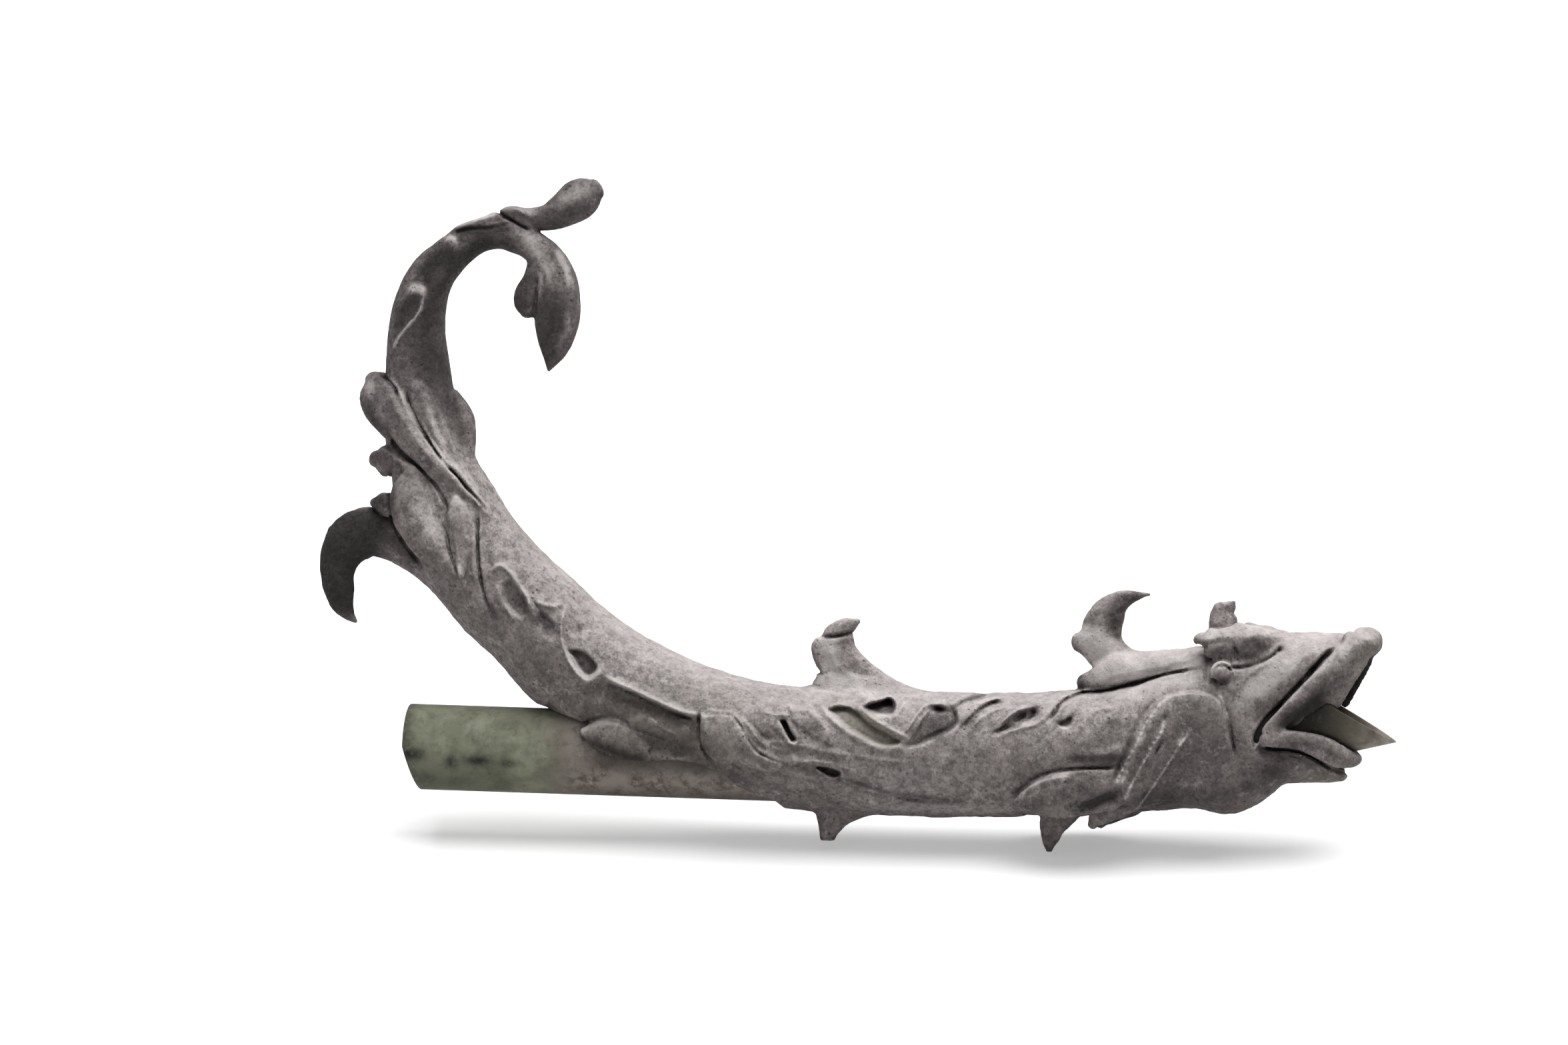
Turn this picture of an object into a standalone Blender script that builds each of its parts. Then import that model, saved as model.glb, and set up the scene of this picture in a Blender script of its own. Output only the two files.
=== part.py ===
"""Dragon fountain spout: a cast dragon with a curled tail, its copper supply pipe and the nozzle in its mouth.

The frame has its origin at the centre of the pipe's rear end, +X along the pipe towards the head and +Z up.
Every shape is worked out in millimetres, and metres() turns it into Blender's unit.
A station is one cross-section of a loft. Each table below lists stations from root to tip.
"""

import math

import bmesh
import bpy
from mathutils import Vector

# Pipe and nozzle
PIPE_RADIUS = 36.0
PIPE_WALL = 3.0
PIPE_LENGTH = 332.0
PIPE_CUT_SLOPE = 0.3  # the lower half of the rear end leans forward by this much for each mm down
PIPE_SIDES = 24
NOZZLE_RADIUS = 33.0
NOZZLE_WALL = 2.0
NOZZLE_TILT = math.radians(14)
NOZZLE_TIP = Vector((837, 0, 30.5))
NOZZLE_CUT_TOP = Vector((770, 0, 68))
NOZZLE_LENGTH = 138.0  # along the underside, from the seat in the throat to the tip
NOZZLE_SIDES = 20
FIT_GAP = 0.35  # left between the casting and each tube
WATERWAY_RADIUS = 24.0
WATERWAY_SIDES = 12
SOCKET_END = 334.0
SLEEVE_RADIUS = 41.3
SLEEVE = (150.0, 344.0)  # where the casting wraps the pipe

# Mesh resolution
TRUNK_STATIONS = 32
TRUNK_SIDES = 16
LEAF_SIDES = 8  # two fewer on slim ones
BROAD = 17.6
SHARP_ANGLE = math.radians(50)  # edges sharper than this aren't shaded smooth
MM_PER_METRE = 1000.0
NEAR, FAR = -1, 1  # the two sides of the dragon, as signs of Y

# Body and tail: x, z, half height across the line, half width
TRUNK = [
    (739.5, 60, 34, 26), (729.5, 57, 50, 34), (715.5, 50, 63, 41), (693, 41, 71, 47), (668, 35, 66, 51),
    (637.5, 25, 58, 53), (602, 18, 54, 53), (551.5, 12, 52, 51), (500.5, 9, 52, 50), (440, 8, 53, 50),
    (379.5, 8, 52, 50), (328.5, 10, 51, 50), (294, 14, 50.5, 49), (259, 21.5, 50, 49), (201, 42, 50, 48.5),
    (142.5, 75, 49.5, 48), (104.5, 109.5, 47, 47), (72.5, 137.5, 46.5, 46), (45, 171.5, 44, 44),
    (26, 204, 42, 40), (10.5, 240, 36, 35), (0.5, 285, 31, 30), (-2.5, 317, 27.5, 27),
    (-4.5, 349, 24.5, 23.5), (-1.5, 376, 22, 21), (6.5, 397, 19.5, 18.5), (19, 412, 17, 16),
    (33, 424, 15, 14.5), (48, 432, 13.5, 13), (65.5, 434, 12.5, 12.5), (81.5, 429, 11.5, 12),
]

# Fins and leaves that stand free of the trunk: x, z, half width, y, half thickness
MEDIAN_BLADES = {
    "tail_spoon": [
        (51, 442, 5, 0, 5), (73.5, 450, 7.5, 0, 6), (89.5, 448, 9, 0, 6.5), (104, 449, 11.5, 0, 7),
        (118, 456, 15, 0, 7.5), (130, 464.5, 17.5, 0, 7.5), (139, 470.5, 15, 0, 6.5), (145.5, 474.5, 9, 0, 5),
    ],
    "tail_bud": [
        (67.5, 433, 10, 0, 11), (83.5, 429, 12, 0, 12), (99, 420, 14, 0, 13), (109, 406, 17, 0, 14),
        (114, 390, 19, 0, 14.5), (115, 372, 20, 0, 14), (114.5, 353, 17.5, 0, 12), (113, 337, 12, 0, 9),
        (109.5, 321, 2, 0, 2.5),
    ],
    "tail_bud_lobe": [
        (97, 410, 8, 0, 10), (94.5, 396, 10, 0, 11), (91, 383, 11.5, 0, 11), (89, 374, 10, 0, 10),
        (89, 367, 5, 0, 7),
    ],
    "rear_hook": [
        (50, 121, 14, 0, 24), (36, 134.5, 16, 0, 21), (20.5, 149, 17, 0, 18), (6, 160.5, 18, 0, 16),
        (-8, 169, 18, 0, 14), (-23.5, 177, 20, 0, 12), (-39, 180, 21, 0, 11),
        (-55, 173, 22, 0, 10), (-64, 159, 18, 0, 9), (-66.5, 145, 15, 0, 8.5), (-64.5, 130, 13.5, 0, 8),
        (-61, 118, 9.5, 0, 6), (-55, 109, 5, 0, 4), (-49.5, 104, 1.5, 0, 2),
    ],
    "back_fin_cap": [
        (361, 92, 9, 0, 8), (362, 101, 13, 0, 7.5), (364.5, 106.5, 12.5, 0, 7), (369.5, 111.5, 9, 0, 6),
        (379, 117, 2.5, 0, 3),
    ],
    "chest_spike": [
        (558.5, -28, 19, 0, 15), (552, -41, 15, 0, 11), (548, -52, 10, 0, 8), (546.5, -62, 5.5, 0, 6),
        (547, -70.5, 1.6, 0, 3),
    ],
    "crest_horn": [
        (598, 80, 26, 0, 12), (590, 94, 22, 0, 10.5), (586, 108, 17.5, 0, 9.5), (587, 121, 16.5, 0, 9),
        (592, 132, 14.5, 0, 8), (600, 140.5, 9.5, 0, 6.5), (612, 145.5, 5, 0, 4.5),
        (625, 147.5, 1.6, 0, 2),
    ],
    "crest_band": [
        (679, 96, 8, 0, 26), (660.5, 94.5, 9, 0, 27), (642.5, 91.5, 10.5, 0, 26), (622.5, 87.5, 13, 0, 23),
        (604, 84, 16, 0, 20), (588, 80, 18, 0, 17), (575.5, 75, 12, 0, 12), (567.5, 73, 6, 0, 7),
    ],
    "crest_lobe": [
        (592, 97, 13, 0, 10), (580, 102, 12.5, 0, 9), (570, 104, 11, 0, 8), (563.5, 104.5, 7, 0, 5),
    ],
}

# The casting's lower edge over the pipe, and what lies below it is open: x, z
PIPE_EDGE = [
    (-120, 38), (114, 38.5), (121, 33), (133, 27), (149, 20), (156, 11), (168, 2), (189, -5), (214, -5),
    (246, -4), (262, -9), (275, -16), (287, -24), (300, -30), (316, -35), (322, -42), (323, -90), (-120, -90),
]

# Fins placed by the two ends of each cross-section: rear x, z, front x, z, half thickness
FINS = {
    "back_fin": [
        (338.5, 48, 450.5, 52, 16), (339.5, 60, 427.5, 63, 13), (345.5, 68.5, 406.5, 71, 10),
        (344.5, 78, 391.5, 81, 8.5), (340.5, 88, 381.5, 91, 7.5), (340.5, 96, 376.5, 100, 7),
        (345.5, 101.5, 375.5, 106, 6),
    ],
    "belly_fin": [
        (345.5, -34, 402.5, -36, 12), (348, -45, 392.5, -47, 10), (350, -53, 376.5, -52, 8),
        (351.5, -61, 367.5, -60, 7), (353, -67.5, 365, -67, 5.5),
    ],
}

# The same on both flanks
SIDE_BLADES = {
    "whorl_great_leaf": [
        (76.5, 190, 2, 39, 4), (63.5, 201, 4, 39.5, 6), (49.5, 212, 7, 39.5, 7), (36, 221, 8.5, 39, 8),
        (25, 231, 9.5, 38, 8.5), (10, 245, 11, 35, 9), (-2.5, 258, 13, 31, 9.5), (-16.5, 273, 16, 25, 10),
        (-27.5, 288, 19, 18, 11), (-34, 298.5, 17, 14, 10), (-38, 309, 8, 11, 6),
    ],
    "whorl_back_lobe": [
        (12, 230, 3, 33, 5), (-2, 235, 7, 28, 7), (-15.5, 239, 12, 21, 8.5), (-26.5, 240.5, 13.5, 14, 9),
        (-34.5, 241.5, 7, 10, 6),
    ],
    "whorl_bulb": [
        (52, 136, 2, 43, 5), (37.5, 152, 8, 42, 8), (23, 168, 14, 39, 11), (10, 186, 19.5, 34, 13),
        (3.5, 203, 21.5, 31, 14), (2.5, 219, 17.5, 31, 12), (3.5, 232, 8, 32, 8),
    ],
    "whorl_small_lobe": [
        (-8, 202, 6, 18, 7), (-20, 205.5, 9, 13, 7), (-29.5, 206, 8, 9, 6), (-35.5, 205.5, 4, 7, 4),
    ],
    "whorl_inner_leaf": [
        (46, 236, 2, 14, 5), (42.5, 251, 5, 14, 7), (38.5, 267, 9, 13.5, 8), (35.5, 281, 9, 12.5, 8),
        (32.5, 290, 7, 11, 6.5), (30, 297, 3, 9, 4),
    ],
    "pipe_leaf_low": [
        (220, 4, 3, 41, 4), (203, 9, 8, 38, 6), (186, 15, 11.5, 34, 6.5), (170, 17.5, 11, 32.5, 6),
        (157.5, 17.5, 7.5, 32, 5), (151, 17, 2.5, 32, 3),
    ],
    "pipe_leaf_high": [
        (242.5, 16, 2.5, 44, 4), (226, 22, 5.5, 42, 5.5), (211.5, 28.5, 7, 39.5, 6),
        (200, 31, 6.5, 38, 5.5), (193, 31, 3, 37.5, 3.5),
    ],
    "brow": [
        (666.5, 110, 3, 33, 4), (674.5, 109, 9, 34, 8), (686.5, 107, 15, 35, 10),
        (701.5, 107, 18, 34.5, 12), (717.5, 108.8, 16.5, 31, 11), (733.5, 112.5, 11.5, 25, 9),
        (744.5, 115.5, 5, 20, 5),
    ],
    "brow_tuft": [
        (691.5, 112, 12, 27, 8), (690, 124, 11, 26, 6.5), (689.5, 133, 10, 25.5, 5.5),
        (692, 140.5, 7, 25, 4.5), (695.5, 145, 3, 25, 2.5),
    ],
    "chest_leaf": [
        (624.5, -14, 8, 42, 4), (605.5, -16, 16, 50.5, 6), (582, -19, 19, 52.5, 7),
        (561.5, -23, 18.5, 50, 7), (543.5, -26, 14, 47, 6.5), (531.5, -27.5, 9, 45.5, 5),
        (525, -28.5, 3.5, 45, 3),
    ],
    "chest_tip": [
        (622.5, -22, 9, 33, 5), (609, -29.5, 10.5, 36, 6.5), (597.5, -36, 9, 34, 6), (590, -42.5, 7, 33, 5),
        (586.5, -48, 3.5, 33, 3),
    ],
}

JAWS = {
    "snout": [
        (693, 72, 42, 0, 46), (715.5, 76, 43, 0, 45.5), (733.5, 82, 39, 0, 43.5), (750, 90, 32, 0, 41),
        (764, 96, 26, 0, 38), (779, 101, 21, 0, 33), (792.5, 107, 14, 0, 25),
    ],
    "lower_jaw": [
        (680.5, 1, 30, 0, 42), (693.5, -1, 33, 0, 43), (705.5, 1, 30, 0, 42), (718.5, 6.5, 25, 0, 41),
        (735.5, 10.5, 17.5, 0, 39), (756, 9, 15.5, 0, 34), (773.5, 6, 12, 0, 28), (786.5, 3.5, 9, 0, 21),
        (795.5, 2, 6, 0, 13),
    ],
}

# Lips run round the front of the jaws from corner to corner:
# x, y, z, half height, half thickness, lean back from upright, tuck of the lower edge towards the middle
LIPS = {
    "upper_lip": [
        (728.5, 40, 34, 6, 5.5, 44, 0), (737.5, 42, 47, 8, 6.5, 44, 8), (749.5, 41, 60.5, 9, 7, 44, 12),
        (762, 38.5, 74, 9.5, 7.5, 44, 16), (774.5, 35.5, 87, 10, 8, 42, 18), (787, 30, 99, 10.5, 8.5, 38, 18),
        (799, 22, 108, 11, 9, 30, 14), (808.5, 12, 113, 11.5, 10, 20, 8), (811.5, 0, 114, 12, 11, 16, 0),
    ],
    "upper_skirt": [
        (737, 35, 37, 7, 4.5, 48, 30), (751, 33.5, 50, 10, 5, 48, 40), (764, 30.5, 62, 12, 5, 46, 46),
        (776, 27, 74, 13, 5, 40, 48), (787.5, 23.5, 86, 13, 5.5, 32, 42), (798, 19, 97, 13, 6, 26, 32),
        (807, 11, 105, 11, 7, 20, 16), (810.5, 0, 108, 10, 8, 16, 0),
    ],
    "lower_lip": [
        (724, 40, 29, 7, 5, 0, 0), (740.5, 41.5, 30, 9, 6, 0, 0), (758, 39, 28, 9.5, 6.5, 0, 0),
        (775.5, 34, 24, 11, 7, 0, 0), (791.5, 26, 18.5, 11, 8, 0, 0), (800, 16, 16, 9.5, 8.5, 0, 0),
        (802.5, 7, 16, 9, 8.5, 0, 0), (803, 0, 16, 9, 8.5, 0, 0),
    ],
}

# Carving that follows the trunk's side: x, z, half width, lift above the skin
RELIEF = {
    "whorl_slim_leaf": [
        (47.5, 233, 2, 1), (33.5, 249, 6, 3), (21.5, 267, 9, 5), (12.5, 284, 11, 5.5), (5, 297, 9, 5),
        (2, 305, 3, 2),
    ],
    "whorl_cap_leaf": [
        (74.5, 116, 2, 1), (66.5, 135, 4, 3), (59.5, 155, 6, 4), (52, 175, 8, 5), (45.5, 191, 11, 7),
        (41.5, 202, 9, 6), (39, 209, 3, 3),
    ],
    "curled_leaf": [
        (72, 110, 3, 1), (77.5, 124, 8, 4), (83, 139, 9, 6), (84.5, 149, 7, 5), (82.5, 156, 2, 2),
    ],
    "mantle_edge": [
        (135.5, 92, 3, 1), (156, 72, 6, 4), (182.5, 62, 6, 5), (209.5, 52, 6, 5), (237, 43, 6, 5),
        (257.5, 37, 4, 3),
    ],
    "collar": [
        (251.5, 30, 6, 3), (267.5, 33, 9, 5), (283.5, 30, 9, 5), (297, 16, 8, 5), (309, 2, 7, 5),
        (326, -8, 5, 3), (344, -12, 2, 1),
    ],
    "side_ribbon": [
        (303.5, 52, 3, 1), (328, 48, 6, 4), (349, 42, 6, 5), (370.5, 28, 6, 5), (395, 17, 6, 5),
        (419.5, 10, 4, 4), (440, 10, 2, 1),
    ],
    "loop_ribbon": [
        (376, 50, 3, 1), (389.5, 42, 5, 4), (406.5, 31, 5, 5), (423, 27, 5, 5), (436.5, 37, 5, 5),
        (451, 51, 3, 2),
    ],
    "gill_cover": [
        (608, -10, 8, 1), (615.5, -9, 19, 4), (630, 2, 36, 6.5), (646.5, 13, 47, 7), (666, 18, 50, 7),
        (684.5, 19, 48, 6.5), (698.5, 19, 35, 5), (708, 16, 12, 1),
    ],
    "cheek": [
        (700.5, 44, 8, 2), (712, 50, 16, 6), (725.5, 58, 18, 7), (738, 68, 14, 5), (749, 80, 6, 2),
    ],
    "tail_drop_low": [
        (-21, 326, 1.5, 1), (-16.5, 344, 5, 3), (-10.5, 362, 8, 4.5), (-4.5, 378, 9, 5), (-0.5, 389, 4, 3),
    ],
}

# Openings carved in the flank: x, z, half length, half height, slant in degrees, depth
FLANK_CUTS = {
    "teardrop": (155, 76, 14, 9.5, -42, 12),
    "slit": (331, 24, 11, 2.6, -55, 12),
    "eye_slot": (364.5, -7, 13, 4.2, -16, 12),
    "hollow": (406, 47, 12, 6, 8, 10),
}

EYE_CENTRE, EYE_RADIUS = Vector((693.5, 43.5, 82)), 9.0
MOUTH_HOLLOW = [(710, 26, 27), (730, 36, 26), (753, 50, 24), (777, 66, 20), (799, 80, 17), (827, 90, 16)]
WATERWAY = [(SOCKET_END - 4, 0), (500, 0), (630, 2), (660, 9), (688, 20), (704, 27)]


def metres(point):
    return Vector(point) / MM_PER_METRE


def smooth(points, count):
    """Stations evenly spaced along a centripetal Catmull-Rom curve through points, whose first two values place it."""
    points = [Vector(p) for p in points]
    ends = [2 * points[0] - points[1], *points, 2 * points[-1] - points[-2]]
    fine = []
    for before, start, end, after in zip(ends, ends[1:], ends[2:], ends[3:]):
        knots = [0.0]
        for a, b in ((before, start), (start, end), (end, after)):
            knots.append(knots[-1] + max(1e-4, math.hypot(b[0] - a[0], b[1] - a[1])) ** 0.5)
        for step in range(12):
            t = knots[1] + (knots[2] - knots[1]) * step / 12
            level = [before, start, end, after]
            for gap in (1, 2, 3):
                level = [
                    _between(level[i], level[i + 1], knots, i, gap, t) for i in range(len(level) - 1)
                ]
            fine.append(level[0])
    fine.append(points[-1])
    return even(fine, count)


def _between(a, b, knots, index, gap, t):
    """One blend of the Catmull-Rom pyramid: its levels span 1, then 2, then again 1 knot interval."""
    low, high = (index, index + 1) if gap == 1 else (index, index + 2) if gap == 2 else (1, 2)
    share = (t - knots[low]) / (knots[high] - knots[low])
    return a.lerp(b, share)


def even(points, count):
    """Count points at equal distances along a polyline, measured by its first two values."""
    lengths = [0.0]
    for a, b in zip(points, points[1:]):
        lengths.append(lengths[-1] + math.hypot(b[0] - a[0], b[1] - a[1]))
    found, index = [], 0
    for step in range(count):
        goal = lengths[-1] * step / (count - 1)
        while index < len(points) - 2 and lengths[index + 1] < goal:
            index += 1
        span = lengths[index + 1] - lengths[index]
        found.append(points[index].lerp(points[index + 1], (goal - lengths[index]) / span if span else 0))
    return found


def direction(points, index):
    """The unit direction of a path at one of its points, in the XZ plane."""
    ahead, behind = points[min(index + 1, len(points) - 1)], points[max(index - 1, 0)]
    return Vector((ahead[0] - behind[0], 0, ahead[1] - behind[1])).normalized()


def upright(along):
    """The in-plane normal of a path that runs along the given direction."""
    return Vector((-along.z, 0, along.x))


def section(centre, across, out, half_across, half_out, sides, pinch=1.0):
    """A closed ring round centre. A pinch above 1 thins it towards its two edges, as on a leaf."""
    ring = []
    for step in range(sides):
        turn = 2 * math.pi * step / sides
        rise = math.copysign(abs(math.sin(turn)) ** pinch, math.sin(turn))
        ring.append(centre + across * (half_across * math.cos(turn)) + out * (half_out * rise))
    return ring


def skin(name, rings):
    """A hidden closed mesh over rings of equal counts, with each end drawn to its middle."""
    sides = len(rings[0])
    points = [p for ring in rings for p in ring]
    faces = [
        (r * sides + k, r * sides + (k + 1) % sides, (r + 1) * sides + (k + 1) % sides, (r + 1) * sides + k)
        for r in range(len(rings) - 1)
        for k in range(sides)
    ]
    for ring, start in ((rings[0], 0), (rings[-1], (len(rings) - 1) * sides)):
        points.append(sum(ring, Vector()) / sides)
        faces += [(start + k, start + (k + 1) % sides, len(points) - 1) for k in range(sides)]
    return solid(name, points, faces)


def solid(name, points, faces):
    """A linked mesh object whose faces point outwards."""
    mesh = bpy.data.meshes.new(name)
    mesh.from_pydata([metres(p) for p in points], [], faces)
    work = bmesh.new()
    work.from_mesh(mesh)
    bmesh.ops.recalc_face_normals(work, faces=work.faces)
    work.to_mesh(mesh)
    work.free()
    mesh.shade_smooth()
    mesh.set_sharp_from_angle(angle=SHARP_ANGLE)
    obj = bpy.data.objects.new(name, mesh)
    bpy.context.scene.collection.objects.link(obj)
    return obj


class Trunk:
    """The dragon's body and tail: a line in the XZ plane with an oval section at each station."""

    def __init__(self, table, stations):
        self.stations = smooth(table, stations)
        self.fine = smooth(table, 8 * stations)

    def mesh(self):
        rings = []
        for index, (x, z, half_height, half_width) in enumerate(self.stations):
            up = upright(direction(self.stations, index))
            rings.append(
                section(Vector((x, 0, z)), Vector((0, 1, 0)), up, half_width, half_height, TRUNK_SIDES)
            )
        return skin("dragon_casting", rings)

    def surface(self, x, z, side):
        """The point of the skin seen at x, z from one side, its outward normal and the line's direction there."""
        index = min(
            range(len(self.fine)), key=lambda i: (self.fine[i][0] - x) ** 2 + (self.fine[i][1] - z) ** 2
        )
        cx, cz, half_height, half_width = self.fine[index]
        along = direction(self.fine, index)
        up = upright(along)
        offset = (x - cx) * up.x + (z - cz) * up.z
        sine = max(-0.98, min(0.98, offset / half_height))
        cosine = math.sqrt(1 - sine * sine)
        point = Vector((cx, 0, cz)) + up * (half_height * sine) + Vector((0, side * half_width * cosine, 0))
        normal = (up * (sine / half_height) + Vector((0, side * cosine / half_width, 0))).normalized()
        shift = (x - cx) * along.x + (z - cz) * along.z
        return point + along * shift, normal


def blade(name, table, side, pinch=1.25):
    """A leaf or fin that lies roughly in the XZ plane, at y on the given side."""
    sides = LEAF_SIDES if max(station[2] for station in table) > BROAD else LEAF_SIDES - 2
    rings = []
    stations = [Vector(p) for p in table]
    for index, (x, z, half_width, y, half_thick) in enumerate(stations):
        up = upright(direction(stations, index))
        centre = Vector((x, side * y, z))
        rings.append(section(centre, up, Vector((0, 1, 0)), half_width, half_thick, sides, pinch))
    return skin(name, rings)


def fin(name, table):
    """An upright fin on the dragon's middle line."""
    rings = []
    for rear_x, rear_z, front_x, front_z, half_thick in table:
        rear, front = Vector((rear_x, 0, rear_z)), Vector((front_x, 0, front_z))
        half = (front - rear) / 2
        ring = section(rear + half, half.normalized(), Vector((0, 1, 0)), half.length, half_thick, LEAF_SIDES)
        rings.append(ring)
    return skin(name, rings)


def lip(name, table):
    """A thick rim from the near corner of the mouth round the front to the far corner."""
    stations = [(Vector((x, -y, z)), NEAR, *rest) for x, y, z, *rest in table]
    stations += [(Vector((p.x, -p.y, p.z)), FAR, *rest) for p, _, *rest in reversed(stations[:-1])]
    rings = []
    for index, (centre, side, half_height, half_thick, lean, tuck) in enumerate(stations):
        ahead, behind = stations[min(index + 1, len(stations) - 1)][0], stations[max(index - 1, 0)][0]
        back, inward = math.sin(math.radians(lean)), math.sin(math.radians(tuck))
        tall = Vector((-back, side * inward, math.cos(math.radians(lean)))).normalized()
        out = tall.cross(ahead - behind).normalized()
        rings.append(section(centre, tall, out, half_height, half_thick, LEAF_SIDES))
    return skin(name, rings)


def relief(name, table, side, trunk, sink=4.0):
    """A carved band on the trunk's flank. Its face stands lift above the skin, and its back lies under it."""
    stations = [Vector(p) for p in table]
    widest = max(station[2] for station in table)
    columns = 5 if widest > BROAD else 3 if widest > BROAD * 0.55 else 1
    rings = []
    for index, (x, z, half_width, lift) in enumerate(stations):
        up = upright(direction(stations, index))
        face, back = [], []
        for column in range(columns + 2):
            share = 2 * column / (columns + 1) - 1
            point, normal = trunk.surface(x + up.x * half_width * share, z + up.z * half_width * share, side)
            if abs(share) == 1:
                face.append(point - normal)
            else:
                face.append(point + normal * (lift * (1 - share**4)))
                back.append(point - normal * sink)
        rings.append(face + back[::-2])
    return skin(name, rings)


def tube(name, path, sides):
    """A closed tube in the XZ plane through stations of x, z, radius."""
    rings = []
    for index, (x, z, radius) in enumerate(path):
        up = upright(direction(path, index))
        rings.append(section(Vector((x, 0, z)), Vector((0, 1, 0)), up, radius, radius, sides))
    return skin(name, rings)


def ball(name, centre, radius, stretch=(1, 1, 1), segments=12, rings=6):
    """A sphere, or an egg where stretch differs along the axes."""
    mesh = bpy.data.meshes.new(name)
    work = bmesh.new()
    bmesh.ops.create_uvsphere(work, u_segments=segments, v_segments=rings, radius=radius / MM_PER_METRE)
    bmesh.ops.scale(work, vec=stretch, verts=work.verts)
    bmesh.ops.translate(work, vec=metres(centre), verts=work.verts)
    work.to_mesh(mesh)
    work.free()
    mesh.shade_smooth()
    obj = bpy.data.objects.new(name, mesh)
    bpy.context.scene.collection.objects.link(obj)
    return obj


def flank_cutter(name, values, side, trunk):
    """A lens-shaped plug that sinks into the flank to the given depth."""
    x, z, half_length, half_height, slant, depth = values
    point, normal = trunk.surface(x, z, side)
    turn = math.radians(slant)
    level = Vector((math.cos(turn), 0, math.sin(turn)))
    long_way = (level - normal * level.dot(normal)).normalized()
    short_way = normal.cross(long_way)
    rings = []
    for height, share in ((-depth, 0.5), (-depth * 0.5, 0.85), (0, 1.0), (8, 1.15)):
        middle = point + normal * height
        rings.append(section(middle, long_way, short_way, half_length * share, half_height * share, 12))
    return skin(name, rings)


def supply_pipe():
    """The pipe, square at the top of its rear end and cut back below."""
    loops = []
    for radius, start in (
        (PIPE_RADIUS, True), (PIPE_RADIUS, False), (PIPE_RADIUS - PIPE_WALL, False), (PIPE_RADIUS - PIPE_WALL, True),
    ):
        loop = []
        for step in range(PIPE_SIDES):
            turn = 2 * math.pi * step / PIPE_SIDES
            y, z = radius * math.cos(turn), radius * math.sin(turn)
            x = max(0.0, -PIPE_CUT_SLOPE * z) if start else PIPE_LENGTH
            loop.append(Vector((x, y, z)))
        loops.append(loop)
    return closed_band("supply_pipe", loops)


def nozzle_ring(offset, front):
    """The nozzle's rim at its slanting front or its square rear, grown outwards by offset."""
    axis = Vector((math.cos(NOZZLE_TILT), 0, math.sin(NOZZLE_TILT)))
    up = upright(axis)
    tip_axis = NOZZLE_TIP + up * NOZZLE_RADIUS
    cut = (NOZZLE_CUT_TOP - NOZZLE_TIP).normalized()
    cut_normal = Vector((-cut.z, 0, cut.x)) * -1
    radius = NOZZLE_RADIUS + offset
    loop = []
    for step in range(NOZZLE_SIDES):
        turn = 2 * math.pi * step / NOZZLE_SIDES
        rim = tip_axis + up * (radius * math.sin(turn)) + Vector((0, radius * math.cos(turn), 0))
        if front:
            reach = (NOZZLE_TIP + cut_normal * max(offset, 0) - rim).dot(cut_normal) / axis.dot(cut_normal)
        else:
            reach = -NOZZLE_LENGTH - max(offset, 0)
        loop.append(rim + axis * reach)
    return loop


def mouth_nozzle():
    """The nozzle: a tube tilted up out of the throat, with its mouth cut to a slanting point."""
    rings = ((0, False), (0, True), (-NOZZLE_WALL, True), (-NOZZLE_WALL, False))
    return closed_band("mouth_nozzle", [nozzle_ring(offset, front) for offset, front in rings])


def closed_band(name, loops):
    """A tube wall: each loop is joined to the next, and the last to the first."""
    sides, count = len(loops[0]), len(loops)
    faces = [
        (
            r * sides + k,
            r * sides + (k + 1) % sides,
            (r + 1) % count * sides + (k + 1) % sides,
            (r + 1) % count * sides + k,
        )
        for r in range(count)
        for k in range(sides)
    ]
    return solid(name, [p for loop in loops for p in loop], faces)


def nozzle_seat():
    """The hole that holds the nozzle: its own outline with a fit gap all round, closed at both ends."""
    return skin("nozzle_seat", [nozzle_ring(FIT_GAP, False), nozzle_ring(FIT_GAP, True)])


def below_pipe_edge():
    """A block through both flanks that fills everything below the casting's lower edge over the pipe."""
    outline = [Vector((x, 0, z)) for x, z in PIPE_EDGE]
    count, depth = len(outline), Vector((0, 75, 0))
    faces = [tuple(range(count)), tuple(range(2 * count - 1, count - 1, -1))]
    faces += [(k, (k + 1) % count, (k + 1) % count + count, k + count) for k in range(count)]
    return solid("below_pipe_edge", [p - depth for p in outline] + [p + depth for p in outline], faces)


def metal(name, colour, roughness, metallic):
    material = bpy.data.materials.new(name)
    material.use_nodes = True
    shader = material.node_tree.nodes["Principled BSDF"]
    shader.inputs["Base Color"].default_value = (*colour, 1)
    shader.inputs["Roughness"].default_value = roughness
    shader.inputs["Metallic"].default_value = metallic
    return material


def gather(name, helpers):
    """Puts the helpers in a collection that isn't rendered, and shows them as wires."""
    collection = bpy.data.collections.new(name)
    bpy.context.scene.collection.children.link(collection)
    for helper in helpers:
        bpy.context.scene.collection.objects.unlink(helper)
        collection.objects.link(helper)
        helper.hide_render = True
        helper.display_type = "WIRE"
    return collection


def combine(obj, operation, helpers, name):
    """One Boolean of obj with all the helpers."""
    modifier = obj.modifiers.new(name, "BOOLEAN")
    modifier.operation = operation
    modifier.solver = "MANIFOLD"
    modifier.operand_type = "COLLECTION"
    modifier.collection = gather(name, helpers)


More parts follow.
